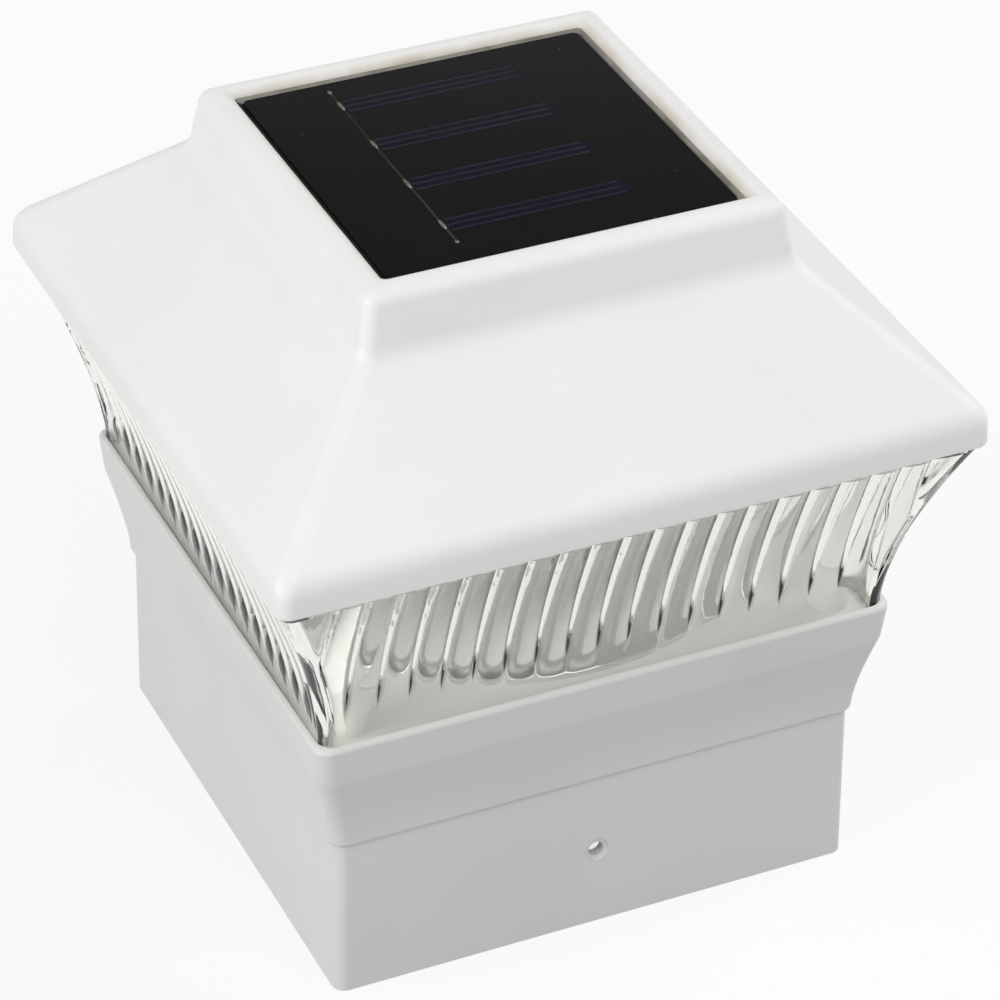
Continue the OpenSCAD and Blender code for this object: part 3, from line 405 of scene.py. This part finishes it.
def flowed_solder():
    """Tin solder, flowed by hand: bright where the tin shows, dark under burnt flux."""
    material, tree, shader, place = start_material(
        "Tin solder, flowed", Metallic=1.0, Roughness=0.3)
    flux = node(tree, "ShaderNodeTexNoise", {"Scale": per(1.1), "Detail": 3.0},
                {"Vector": place})
    bare = node(tree, "ShaderNodeMapRange", {"From Min": 0.38, "From Max": 0.48},
                {"Value": flux.outputs["Fac"]})
    body = node(tree, "ShaderNodeMix", {"data_type": "RGBA", 6: rgba(linear("#6A6752")),
                                        7: rgba(linear("#FBF6D8"))}, {0: bare.outputs["Result"]})
    tree.links.new(body.outputs[2], shader.inputs["Base Color"])
    return material


def foam_painted_light():
    """Foam rubber, cut black, with painted light: lighter grey in patches at the back and the
    right, where the gap is open.
    """
    material, tree, shader, place = start_material(
        "Foam rubber, cut black", Roughness=0.8, Specular_IOR_Level=0.2)
    axes = node(tree, "ShaderNodeSeparateXYZ", {}, {"Vector": place})
    reach = node(tree, "ShaderNodeMath", {"operation": "MAXIMUM"},
                 {0: axes.outputs["X"], 1: axes.outputs["Y"]})
    # painted light: the foam turns lighter grey towards its back and right sides, in patches
    back = node(tree, "ShaderNodeMapRange", {"From Min": 34.0 * MM, "From Max": 34.8 * MM},
                {"Value": reach.outputs[0]})
    patchy = node(tree, "ShaderNodeTexNoise", {"Scale": per(5), "Detail": 3.0},
                  {"Vector": place})
    light_patches = node(tree, "ShaderNodeMapRange", {"From Min": 0.3, "From Max": 0.6, "To Min": 0.6},
                 {"Value": patchy.outputs["Fac"]})
    share = node(tree, "ShaderNodeMath", {"operation": "MULTIPLY"},
                 {0: back.outputs["Result"], 1: light_patches.outputs["Result"]})
    # black foam mixed towards the lighter grey of the painted light
    body = node(tree, "ShaderNodeMix", {"data_type": "RGBA", 6: rgba(linear("#191918")),
                                        7: rgba(linear("#8E8B82"))}, {0: share.outputs[0]})
    tree.links.new(body.outputs[2], shader.inputs["Base Color"])
    return material


def skinned_polymer(name, base, roughness, grain, specular=0.45, relief=0.2, dusty=False):
    """Plastic, rubber or laminate: one body colour under a fine skin."""
    material, tree, shader, place = start_material(
        name, Roughness=roughness, Specular_IOR_Level=specular)
    noise = node(tree, "ShaderNodeTexNoise",
                 {"Scale": per(grain), "Detail": 4.0, "Roughness": 0.6}, {"Vector": place})
    body = node(tree, "ShaderNodeMix", {"data_type": "RGBA", 6: rgba(base, 0.88),
                                        7: rgba(base, 1.1)}, {0: noise.outputs["Fac"]})
    skin = body.outputs[2]
    if dusty:
        skin = dust(tree, place, skin, linear("#77756E"), 3.6, 0.16, 0.5)
    tree.links.new(skin, shader.inputs["Base Color"])
    bump = node(tree, "ShaderNodeBump", {"Strength": relief, "Distance": 0.02 * MM},
                {"Height": noise.outputs["Fac"]})
    tree.links.new(bump.outputs["Normal"], shader.inputs["Normal"])
    return material


# ---------------------------------------------------------------- pieces

class CAPLIGHT_OT_sleeve(bpy.types.Operator):
    """Cleans a copy of the post sleeve, so that its broad faces shade flat"""
    bl_idname = "caplight.sleeve"
    bl_label = "Post sleeve"

    def execute(self, context):
        look = context.scene.caplight_shell
        bm = bmesh.new()
        bm.from_mesh(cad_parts["post_sleeve"].data)
        bmesh.ops.remove_doubles(bm, verts=bm.verts, dist=MERGE)
        bmesh.ops.dissolve_limit(bm, angle_limit=math.radians(0.5), verts=bm.verts,
                                 edges=bm.edges)
        # the sleeve takes the darker lower white, which paints the shade under the roof
        finish_piece(bm, "sleeve_shell", "post_sleeve",
                     moulded_abs("ABS moulded white, sleeve", look.lower),
                     flat_first=True)
        return {"FINISHED"}


class CAPLIGHT_OT_collar(bpy.types.Operator):
    """Moulds the flared collar with its lip, deck and screw posts"""
    bl_idname = "caplight.collar"
    bl_label = "Collar"

    def execute(self, context):
        look = context.scene.caplight_shell
        corner = look.collar_corner
        z_foot, z_deck = COLLAR_LOW.z, LENS_LOW.z
        z_lip = z_deck + look.lip_depth
        deck_sheet = 2 * MM
        z_under = z_deck - deck_sheet
        shut = COLLAR_HIGH.x - look.collar_flare
        cove_foot = z_foot + 1.8 * MM
        cove_height = z_lip - look.band_height - cove_foot
        start = 1.0 * MM
        spread = look.collar_flare - 0.7 * MM - start

        def cove(share):
            """How far the cove has spread at this share of its height."""
            return spread * share ** 1.35

        # the rounded foot: millimetres out past the sleeve, and up
        bead = ((0.2, 0), (0.5, 0.13), (0.7, 0.35), (0.88, 0.7), (0.95, 1))
        profile = [(shut + out * MM, corner, z_foot + up * MM) for out, up in bead]
        for i in range(17):
            profile.append((shut + start + cove(i / 16), corner,
                            cove_foot + cove_height * i / 16))
        soft = look.lip_thickness - 0.1 * MM
        for i in range(9):
            a = math.pi / 2 * i / 8
            profile.append((COLLAR_HIGH.x - soft * (1 - math.cos(a)), corner,
                            z_lip - soft * (1 - math.sin(a))))
        pocket = COLLAR_HIGH.x - look.lip_thickness
        groove = pocket - 1.25 * MM
        groove_end = groove - 1.6 * MM
        z_groove = z_deck - 0.8 * MM
        profile += [
            (pocket + 0.12 * MM, 2.5 * MM, z_lip), (pocket, 2.4 * MM, z_lip - 0.12 * MM),
            (pocket, 2.4 * MM, z_deck), (groove, 2 * MM, z_deck),
            (groove, 2 * MM, z_groove), (groove_end, 0.4 * MM, z_groove),
            (groove_end, 0.4 * MM, z_deck)]
        rings = [square_ring(*point) for point in profile]
        hole = DISH_HIGH.x - 3.3 * MM
        rings += [round_ring(0, 0, hole, z_deck), round_ring(0, 0, hole, z_under)]
        reach, inner_corner = shut - look.collar_wall, 2.6 * MM
        rings.append(square_ring(reach + spread, inner_corner, z_under))
        rings += [square_ring(reach + cove(i / 4), inner_corner, cove_foot + cove_height * i / 4)
                  for i in (4, 3, 2, 1, 0)]
        rings.append(square_ring(reach, inner_corner, z_foot))
        bm = start_mesh()
        loft(bm, rings)
        for sx in (-1, 1):
            for sy in (-1, 1):
                self.screw_post(bm, sx * POST_XY, sy * POST_XY, POST_RADIUS, SCREW_BORE,
                                z_under - 0.01 * MM, z_deck + POST_LENGTH)
                self.screw_post(bm, sx * SLEEVE_POST_XY, sy * SLEEVE_POST_XY,
                                SLEEVE_POST_RADIUS, PILOT_BORE, PLATE_HIGH.z,
                                z_deck - 1 * MM)
        # the collar takes the darker lower white, which paints the shade under the roof
        finish_piece(bm, "collar_shell", "base_collar",
                     moulded_abs("ABS moulded white, collar", look.lower),
                     flat_first=True)
        return {"FINISHED"}

    @staticmethod
    def screw_post(bm, x, y, radius, bore, low, high):
        """A round post with a bore right through it."""
        loft(bm, [round_ring(x, y, radius, low), round_ring(x, y, radius, high - POST_EDGE),
                  round_ring(x, y, radius - POST_EDGE, high), round_ring(x, y, bore, high),
                  round_ring(x, y, bore, low)])


class CAPLIGHT_OT_roof(bpy.types.Operator):
    """Moulds the hipped roof with its neck, window, hollow and screw posts"""
    bl_idname = "caplight.roof"
    bl_label = "Roof"

    def execute(self, context):
        look = context.scene.caplight_shell
        half, z_top, z_rim = ROOF_HIGH.x, ROOF_HIGH.z, LENS_HIGH.z
        corner, wall = look.roof_corner, look.roof_wall
        r, hollow = look.rim_round, look.neck_round
        z_ledge = SEAL_LOW.z
        z_under = z_ledge - 2 * MM
        window_corner, hollow_corner, rim_corner = 0.6 * MM, 0.8 * MM, 1.2 * MM
        window = COVER_HIGH.x + look.panel_gap
        neck = window + look.neck_edge
        foot = neck + 1.05 * MM
        outer = half - 0.15 * MM
        turn = math.pi / 2 - look.roof_pitch
        z_band = z_rim + look.rim_band
        z_neck = z_top - look.top_round - look.neck_height
        steps = 8
        profile = [(half - 0.45 * MM, corner, z_rim), (half - 0.1 * MM, corner,
                   z_rim + 0.2 * MM), (half, corner, z_rim + 0.45 * MM)]
        for i in range(steps + 1):
            a = turn * i / steps
            profile.append((outer - r * (1 - math.cos(a)), corner, z_band + r * math.sin(a)))
        for i in range(steps, -1, -1):
            a = turn * i / steps
            profile.append((foot + hollow * (1 - math.cos(a)), look.neck_corner,
                            z_neck - hollow * math.sin(a)))
        for i in range(steps + 1):
            a = math.pi / 2 * i / steps
            back = look.top_round * (1 - math.cos(a))
            profile.append((neck - back, max(1.4 * MM, look.neck_corner - back),
                            z_top - look.top_round * (1 - math.sin(a))))
        for i in range(steps + 1):
            a = math.pi / 2 * i / steps
            back = look.window_round * (1 - math.sin(a))
            profile.append((window + back, window_corner + back,
                            z_top - look.window_round * (1 - math.cos(a))))
        ledge = window - 3.25 * MM
        profile += [
            (window, window_corner, z_ledge), (ledge, 2 * MM, z_ledge),
            (ledge, 2 * MM, z_under), (foot - wall - 0.3 * MM, hollow_corner, z_under)]
        for i in range(5):
            a = turn * i / 4
            profile.append((foot + hollow - (hollow + wall) * math.cos(a), hollow_corner,
                            z_neck - (hollow + wall) * math.sin(a)))
        for i in range(4, -1, -1):
            a = turn * i / 4
            profile.append((outer - r + (r - wall) * math.cos(a), rim_corner,
                            z_band + (r - wall) * math.sin(a)))
        profile.append((outer - wall, rim_corner, z_rim))
        bm = start_mesh()
        loft(bm, [square_ring(*point) for point in profile])

        slope_foot = outer - r * (1 - math.cos(turn))
        z_slope = z_band + r * math.sin(turn)

        def under_slope(points):
            """Lifts the points into the wall of the slope above them."""
            return [(x, y, z_slope - wall + (slope_foot - max(abs(x), abs(y)))
                     * math.tan(look.roof_pitch)) for x, y, z in points]

        z_post = LENS_LOW.z + POST_LENGTH
        for sx in (-1, 1):
            for sy in (-1, 1):
                x, y = sx * POST_XY, sy * POST_XY
                loft(bm, [round_ring(x, y, PILOT_BORE, z_post + PILOT_DEPTH),
                          round_ring(x, y, PILOT_BORE, z_post),
                          round_ring(x, y, POST_RADIUS - POST_EDGE, z_post),
                          round_ring(x, y, POST_RADIUS, z_post + POST_EDGE),
                          under_slope(round_ring(x, y, POST_RADIUS, 0))], "cap")
        finish_piece(bm, "roof_shell", "roof_cap",
                     moulded_abs("ABS moulded white, roof", look.plastic, look.ageing),
                     flat_first=True)
        return {"FINISHED"}


class CAPLIGHT_OT_lens(bpy.types.Operator):
    """Moulds the clear flared lens with its fanning flutes"""
    bl_idname = "caplight.lens"
    bl_label = "Lens"

    # whole flutes on a side, and the steps along a flute and a corner
    WHOLE = 17
    FLUTE_STEPS = 12
    CORNER_STEPS = 8
    # from the lip's outside to the foot, and the height over which the valleys deepen
    INSET = 1.32 * MM
    FADE = 9.5 * MM
    INNER_CORNER = 1.4 * MM
    LEDGE_WIDTH = 6.6 * MM
    LEDGE_THICKNESS = 2 * MM

    def execute(self, context):
        look = context.scene.caplight_lens
        z_deck, z_rim = LENS_LOW.z, LENS_HIGH.z
        z_lip = z_deck + context.scene.caplight_shell.lip_depth
        show = z_rim - z_lip
        self.look = look
        self.foot = COLLAR_HIGH.x - self.INSET
        self.top = LENS_HIGH.x
        self.z_lip, self.show = z_lip, show
        # a hair clear of the deck and the roof, so that no two faces lie in one plane
        hair = 0.02 * MM
        levels = [z_deck + hair] + [z_lip + show * i / 34 for i in range(34)] + [z_rim - hair]
        rings = [self.all_round(self.fluted_side(z), z) for z in levels]
        ledge = self.top - self.LEDGE_WIDTH
        z_ledge = z_rim - self.LEDGE_THICKNESS
        rings += [self.all_round(self.plain_side(z, ledge), z) for z in (z_rim - hair, z_ledge)]
        inside = [z_ledge] + [z_lip + show * i / 24 for i in range(22, -1, -1)]
        rings += [self.all_round(self.plain_side(z, self.crest(z) - look.wall), z)
                  for z in inside + [z_deck + hair]]
        bm = start_mesh()
        loft(bm, rings)
        piece = finish_piece(bm, "fluted_lens", "lens",
                             moulded_acrylic("Acrylic moulded clear, lens", look.plastic),
                             sharp=40)
        # clear plastic lets the lamps' light through to the deck inside
        piece.visible_shadow = False
        return {"FINISHED"}

    def crest(self, z):
        """Half width over the crests of the flutes."""
        share = max(0.0, (z - self.z_lip) / self.show)
        return self.foot + (self.top - self.foot) * share ** self.look.flare_power

    def valley(self, z):
        """Depth of the valleys, which fade out above a plain foot."""
        share = min(1.0, max(0.0, (z - self.z_lip - self.look.plain_foot) / self.FADE))
        return self.look.flute_depth * share * share * (3 - 2 * share)

    @staticmethod
    def lobe(share):
        """Share of the depth across a flute: none at its crest, all at both valleys."""
        k = 2 * share - 1
        return (1 - math.sqrt(1 - 0.9 * k * k)) / (1 - math.sqrt(0.1))

    def stations(self, z):
        """Places along one side, each with the share of the valley's depth there."""
        end = self.crest(z) - self.look.corner
        last = min((self.WHOLE / 2 + 1) * self.look.flute_pitch, end - 0.3 * MM)
        inner = [(i - self.WHOLE / 2) * self.look.flute_pitch for i in range(self.WHOLE + 1)]
        valleys = [-last] + inner + [last]
        half = self.FLUTE_STEPS // 2
        places = []
        for j in range(half):
            share = 0.5 + 0.5 * math.sin(math.pi / 2 * j / half)
            places.append((-end + (end - last) * (2 * share - 1), self.lobe(share)))
        for low, high in zip(valleys, valleys[1:]):
            for j in range(self.FLUTE_STEPS):
                share = (1 - math.cos(math.pi * j / self.FLUTE_STEPS)) / 2
                places.append((low + (high - low) * share, self.lobe(share)))
        places.append((last, 1.0))
        for j in range(1, half):
            share = 0.5 - 0.5 * math.cos(math.pi / 2 * j / half)
            places.append((last + (end - last) * 2 * share, self.lobe(share)))
        return end, places

    def with_corner(self, places, end, radius):
        """Adds the rounded corner that ends a side."""
        for j in range(self.CORNER_STEPS + 1):
            a = math.pi / 2 * j / self.CORNER_STEPS
            places.append((end + radius * math.sin(a), end + radius * math.cos(a)))
        return places

    def fluted_side(self, z):
        """One side of the outside at this height, with its corner."""
        end, places = self.stations(z)
        out, deep = self.crest(z), self.valley(z)
        return self.with_corner([(x, out - deep * share) for x, share in places], end,
                                self.look.corner)

    def plain_side(self, z, out):
        """One side of the inside, straight, with its corner."""
        end, places = self.stations(z)
        inner = out - self.INNER_CORNER
        return self.with_corner([(x * inner / end, out) for x, share in places], inner,
                                self.INNER_CORNER)

    @staticmethod
    def all_round(side, z):
        """Turns the places along one side into the whole outline, counter-clockwise."""
        turns = ((1, 0), (0, 1), (-1, 0), (0, -1))
        return [(p * cos + q * sin, p * sin - q * cos, z) for cos, sin in turns
                for p, q in side]


class CAPLIGHT_OT_reflector(bpy.types.Operator):
    """Turns the silvered dish and the cone that spread the diode's light"""
    bl_idname = "caplight.reflector"
    bl_label = "Reflector"

    def execute(self, context):
        look = context.scene.caplight_lens
        silver = silvered_film("Aluminium deposited on moulded plastic", look.silver)
        edge, z_rim, sheet = DISH_HIGH.x, DISH_HIGH.z, 1.2 * MM
        inner, flat = edge - 4 * MM, 8 * MM
        bowl = []
        for i in range(25):
            r = flat + (inner - flat) * i / 24
            bowl.append((r, z_rim + look.bowl_depth * ((i / 24) ** 1.6 - 1)))
        hole = 2.8 * MM
        round_edge = [(edge - 0.4 * MM * (1 - math.sin(a)), z_rim - 0.4 * MM * (1 - math.cos(a)))
                      for a in (0, 0.4, 0.8, 1.2, math.pi / 2)]
        profile = ([(hole, z_rim - look.bowl_depth)] + bowl + round_edge
                   + [(edge, z_rim - sheet)] + [(r, z - sheet) for r, z in reversed(bowl)]
                   + [(hole, z_rim - look.bowl_depth - sheet)])
        bm = bmesh.new()
        spin_profile(bm, profile, 120)
        finish_piece(bm, "silvered_dish", "reflector_dish", silver)

        base, z_face, z_tip = CONE_HIGH.x, LENS_HIGH.z, CONE_LOW.z
        flank = [(base * i / 24, z_face - 1 * MM - (z_face - 1 * MM - z_tip)
                  * (1 - i / 24) ** 1.6) for i in range(25)]
        stub = 3 * MM
        profile = flank + [(base, z_face), (stub, z_face), (stub, CONE_HIGH.z - 0.8 * MM),
                           (stub - 0.8 * MM, CONE_HIGH.z), (0, CONE_HIGH.z)]
        bm = bmesh.new()
        spin_profile(bm, profile, 96)
        finish_piece(bm, "silvered_cone", "spreader_cone", silver)
        return {"FINISHED"}


class CAPLIGHT_OT_panel(bpy.types.Operator):
    """Finishes the solar panel: laminate, cells, printed fingers, ribbon and cover"""
    bl_idname = "caplight.panel"
    bl_label = "Solar panel"

    def execute(self, context):
        look = context.scene.caplight_panel
        dress("panel_board", skinned_polymer("PET laminated black", look.laminate, 0.5, 3.0,
                                             0.0, 0.02, True))
        dress("panel_cells", skinned_polymer("Silicon coated blue", look.cell, 0.4, 1.2, 0.0))
        dress("panel_fingers", grained_metal("Silver paste printed", look.trace, 0.6, 0.6))
        self.ribbon(look)
        self.joints(look)
        self.gasket(context.scene.caplight_shell)
        # poured on the board, so that no air is left over the cells
        low, high = COVER_LOW.z - 0.05 * MM, COVER_HIGH.z
        half, corner, soft = COVER_HIGH.x, 1.5 * MM, 0.3 * MM
        bm = start_mesh()
        loft(bm, [square_ring(half, corner, low), square_ring(half, corner, high - soft),
                  square_ring(half - 0.3 * soft, corner - 0.3 * soft, high - 0.3 * soft),
                  square_ring(half - soft, corner - soft, high)], "cap")
        cover = start_material(
            "Epoxy poured clear, cover", Base_Color=(1, 1, 1, 1), Roughness=0.08, IOR=1.5,
            Specular_IOR_Level=0.22, Transmission_Weight=1.0)[0]
        finish_piece(bm, "poured_cover", "panel_cover", cover, flat_first=True)
        return {"FINISHED"}

    @staticmethod
    def ribbon(look):
        """A thin tinned strip along the ends of the cells, with softened edges."""
        low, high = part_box("panel_ribbon")
        bm = bmesh.new()
        made = bmesh.ops.create_cube(bm, size=1)["verts"]
        bmesh.ops.scale(bm, verts=made, vec=(look.ribbon_width, high.y - low.y, high.z - low.z))
        bmesh.ops.translate(bm, verts=made, vec=(low + high) / 2)
        bmesh.ops.bevel(bm, geom=list(bm.edges), offset=0.02 * MM, segments=2, profile=0.5,
                        affect="EDGES", material=-1)
        finish_piece(bm, "tinned_ribbon", "panel_ribbon",
                     grained_metal("Copper ribbon, tinned", linear("#66645E"), 0.5, 0.8))

    @staticmethod
    def joints(look):
        """Low mounds of solder where the ribbon meets a cell, and one at each of its ends."""
        low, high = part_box("panel_ribbon")
        # the ribbon reaches this far past the first and the last cell
        over = 6.5 * MM
        pitch = (high.y - low.y - 2 * over) / 3
        front = low.y + over
        bm = bmesh.new()
        spots = [(front + i * pitch + 0.6 * MM, look.joint_length / 2) for i in range(4)]
        spots += [(low.y + 0.5 * MM, 0.5 * MM), (high.y - 0.4 * MM, 0.7 * MM)]
        for y, reach in spots:
            made = bmesh.ops.create_uvsphere(bm, u_segments=20, v_segments=10, radius=1)["verts"]
            bmesh.ops.scale(bm, verts=made, vec=(0.42 * MM, reach, 0.12 * MM))
            bmesh.ops.translate(bm, verts=made, vec=((low.x + high.x) / 2, y, high.z))
        finish_piece(bm, "solder_joints", "panel_solder", flowed_solder())

    @staticmethod
    def gasket(look):
        """Foam under the board that also fills the gap between the panel and its window."""
        low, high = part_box("panel_seal")
        panel, top = COVER_HIGH.x + 0.05 * MM, COVER_HIGH.z
        wall = COVER_HIGH.x + look.panel_gap - 0.03 * MM
        ledge = wall - 2.8 * MM
        bm = start_mesh()
        loft(bm, [square_ring(half, corner * MM, z) for half, corner, z in (
            (ledge, 1.6, low.z + 0.02 * MM), (wall, 0.6, low.z + 0.02 * MM),
            (wall, 0.6, top + 0.15 * MM), (wall - 0.3 * MM, 0.9, top - 0.1 * MM),
            (panel + 0.3 * MM, 1.3, top - 0.3 * MM), (panel, 1.5, top - 0.4 * MM),
            (panel, 1.5, high.z - 0.02 * MM), (ledge, 1.6, high.z - 0.02 * MM))])
        finish_piece(bm, "panel_gasket", "panel_seal", foam_painted_light())


class CAPLIGHT_OT_inside(bpy.types.Operator):
    """Finishes the tray, the bay, the battery, the board and the leads"""
    bl_idname = "caplight.inside"
    bl_label = "Inside"

    def execute(self, context):
        inner = moulded_abs("ABS moulded white, inner", linear("#E6E6E2"))
        for name in ("roof_tray", "wire_conduit", "bay_plate", "battery_door"):
            dress(name, inner)
        dress("roof_seal", skinned_polymer("Foam grey, closed cell", linear("#5A5A58"), 0.85, 0.5))
        dress("lens_seal", skinned_polymer("Silicone cast pale", linear("#CFCFCA"), 0.6, 0.5))
        zinc = grained_metal("Steel zinc plated", linear("#B9BBB8"), 0.3, 0.7)
        for name in ("head_screws", "sleeve_screws", "board_screws"):
            dress(name, zinc)
        nickel = grained_metal("Spring steel nickel plated", linear("#C9C5BA"), 0.22, 0.5)
        for name in ("positive_contact", "negative_contact", "battery_spring"):
            dress(name, nickel)
        black = skinned_polymer("Nylon moulded black", linear("#1C1C1D"), 0.45, 0.6)
        for name in ("board_parts", "led_spacer", "switch_body", "switch_knob"):
            dress(name, black)
        dress("driver_board", skinned_polymer("Glass fibre board with green mask",
                                              linear("#1E6B38"), 0.35, 1.0))
        dress("battery", skinned_polymer("PVC shrunk green", linear("#3D8F5B"), 0.3, 2.0))
        dress("led_lamp", moulded_acrylic("Epoxy cast, diode", linear("#FFF6D2")))
        red = skinned_polymer("PVC extruded red", linear("#B8241E"), 0.45, 0.8)
        dark = skinned_polymer("PVC extruded black", linear("#1A1A1A"), 0.45, 0.8)
        for name in ("panel_lead", "battery_lead"):
            dress(name + "_red", red)
            dress(name + "_black", dark)
        return {"FINISHED"}


# ---------------------------------------------------------------- stage

class CAPLIGHT_OT_stage(bpy.types.Operator):
    """Sets up the pale floor, the soft studio light and the camera"""
    bl_idname = "caplight.stage"
    bl_label = "Stage"

    # metres
    LAMP_WIDTH = 0.9
    AIM = (0, 0, 0.07)

    def execute(self, context):
        look = context.scene.caplight_stage
        context.scene.view_settings.view_transform = "Standard"
        self.camera(context)
        self.floor(context, look)
        self.sky(context, look)
        self.lamp(context, "Left", (-1.3, -0.15, 0.54), look.left_level)
        self.lamp(context, "Front", (0.1, -0.95, 1.1), look.front_level)
        self.lamp(context, "Right", (1.1, 0.1, 0.95), look.right_level)
        return {"FINISHED"}

    @staticmethod
    def camera(context):
        """A long lens from the front left, 34 degrees above level."""
        data = bpy.data.cameras.new("Camera")
        data.lens = 162.27
        data.shift_x, data.shift_y = 0.0017, -0.0024
        data.sensor_width = 36.0
        data.clip_start = 0.05
        data.clip_end = 20
        camera = bpy.data.objects.new("Camera", data)
        context.scene.collection.objects.link(camera)
        right = Vector((0.911383, -0.411457, 0.008883))
        down = Vector((-0.22433, -0.514752, -0.827472))
        ahead = Vector((0.345043, 0.752155, -0.561439))
        turn = Matrix((right, -down, -ahead)).transposed().to_4x4()
        camera.matrix_world = Matrix.Translation((-0.29907, -0.658945, 0.556037)) @ turn
        context.scene.camera = camera

    @staticmethod
    def largest(tree, sockets):
        """The largest of some numbers."""
        result = sockets[0]
        for socket in sockets[1:]:
            result = node(tree, "ShaderNodeMath", {"operation": "MAXIMUM"},
                          {0: result, 1: socket}).outputs[0]
        return result

    def floor(self, context, look):
        """Paper that shows white with a soft shadow, and sends less light up than it shows."""
        bm = bmesh.new()
        bmesh.ops.create_grid(bm, x_segments=2, y_segments=2, size=3.0)
        mesh = bpy.data.meshes.new("Floor")
        bm.to_mesh(mesh)
        bm.free()
        floor = bpy.data.objects.new("Floor", mesh)
        context.scene.collection.objects.link(floor)
        material = bpy.data.materials.new("Paper white, matt")
        material.use_nodes = True
        tree = material.node_tree
        tree.nodes.clear()
        path = node(tree, "ShaderNodeLightPath").outputs
        seen = self.largest(tree, [path["Is Camera Ray"], path["Is Glossy Ray"],
                                   path["Is Transmission Ray"]])
        # what reaches the object from the floor, and how much of the paper is even white
        bounce, evenness = (0.42, 0.42, 0.42, 1), 0.8
        paper = node(tree, "ShaderNodeBsdfDiffuse", {"Color": rgba(look.floor)})
        dim = node(tree, "ShaderNodeBsdfDiffuse", {"Color": bounce})
        glow = node(tree, "ShaderNodeEmission", {"Color": (1, 1, 1, 1), "Strength": 1.0})
        shown = node(tree, "ShaderNodeMixShader", {0: evenness},
                     {1: paper.outputs[0], 2: glow.outputs[0]})
        mix = node(tree, "ShaderNodeMixShader", {},
                   {0: seen, 1: dim.outputs[0], 2: shown.outputs[0]})
        node(tree, "ShaderNodeOutputMaterial", {}, {"Surface": mix.outputs[0]})
        mesh.materials.append(material)

    def sky(self, context, look):
        """White to the eye; what gloss and glass show of it is dark overhead."""
        world = bpy.data.worlds.new("Studio")
        context.scene.world = world
        world.use_nodes = True
        tree = world.node_tree
        tree.nodes.clear()
        path = node(tree, "ShaderNodeLightPath").outputs
        place = node(tree, "ShaderNodeTexCoord").outputs["Generated"]
        height = node(tree, "ShaderNodeSeparateXYZ", {}, {"Vector": place}).outputs["Z"]
        canopy = node(tree, "ShaderNodeMapRange", {"From Min": 0.25, "From Max": 0.5},
                      {"Value": height})
        shade = node(tree, "ShaderNodeMix", {"data_type": "RGBA", 6: (1, 1, 1, 1),
                                             7: (0.1, 0.106, 0.114, 1)},
                     {0: canopy.outputs["Result"]})
        even = node(tree, "ShaderNodeBackground", {"Color": (1, 1, 1, 1),
                                                   "Strength": look.sky_level})
        white = node(tree, "ShaderNodeBackground", {"Color": (1, 1, 1, 1), "Strength": 1.0})
        glossy = node(tree, "ShaderNodeBackground", {"Strength": 1.0},
                      {"Color": shade.outputs[2]})
        bent = self.largest(tree, [path["Is Glossy Ray"], path["Is Transmission Ray"]])
        first = node(tree, "ShaderNodeMixShader", {},
                     {0: bent, 1: even.outputs[0], 2: glossy.outputs[0]})
        mix = node(tree, "ShaderNodeMixShader", {},
                   {0: path["Is Camera Ray"], 1: first.outputs[0], 2: white.outputs[0]})
        node(tree, "ShaderNodeOutputWorld", {}, {"Surface": mix.outputs[0]})

    def lamp(self, context, name, place, power):
        """A square soft lamp that faces the object."""
        data = bpy.data.lights.new(name, "AREA")
        data.shape = "SQUARE"
        data.size = self.LAMP_WIDTH
        data.energy = power
        lamp = bpy.data.objects.new(name, data)
        context.scene.collection.objects.link(lamp)
        aim = Vector(self.AIM) - Vector(place)
        lamp.matrix_world = (Matrix.Translation(place)
                             @ aim.to_track_quat("-Z", "Y").to_matrix().to_4x4())


class CAPLIGHT_PT_panel(bpy.types.Panel):
    """Lists the pieces of the cap light"""
    bl_idname = "CAPLIGHT_PT_panel"
    bl_label = "Cap Light"
    bl_space_type = "VIEW_3D"
    bl_region_type = "UI"
    bl_category = "Cap Light"

    def draw(self, context):
        for group, slot in GROUPS.items():
            box = self.layout.box()
            box.label(text=group.__doc__)
            for key in group.__annotations__:
                box.prop(getattr(context.scene, slot), key)
        for operator in PIECES:
            self.layout.operator(operator.bl_idname)


GROUPS = {
    ShellSettings: "caplight_shell",
    LensSettings: "caplight_lens",
    PanelSettings: "caplight_panel",
    StageSettings: "caplight_stage",
}
PIECES = (
    CAPLIGHT_OT_stage,
    CAPLIGHT_OT_sleeve,
    CAPLIGHT_OT_collar,
    CAPLIGHT_OT_roof,
    CAPLIGHT_OT_lens,
    CAPLIGHT_OT_reflector,
    CAPLIGHT_OT_panel,
    CAPLIGHT_OT_inside,
)


def register():
    for group, slot in GROUPS.items():
        bpy.utils.register_class(group)
        setattr(bpy.types.Scene, slot, bpy.props.PointerProperty(type=group))
    for operator in PIECES:
        bpy.utils.register_class(operator)
    bpy.utils.register_class(CAPLIGHT_PT_panel)


def unregister():
    bpy.utils.unregister_class(CAPLIGHT_PT_panel)
    for operator in reversed(PIECES):
        bpy.utils.unregister_class(operator)
    for group, slot in reversed(GROUPS.items()):
        delattr(bpy.types.Scene, slot)
        bpy.utils.unregister_class(group)


def main():
    register()
    for operator in PIECES:
        area, name = operator.bl_idname.split(".")
        getattr(getattr(bpy.ops, area), name)()


if __name__ == "__main__":
    main()
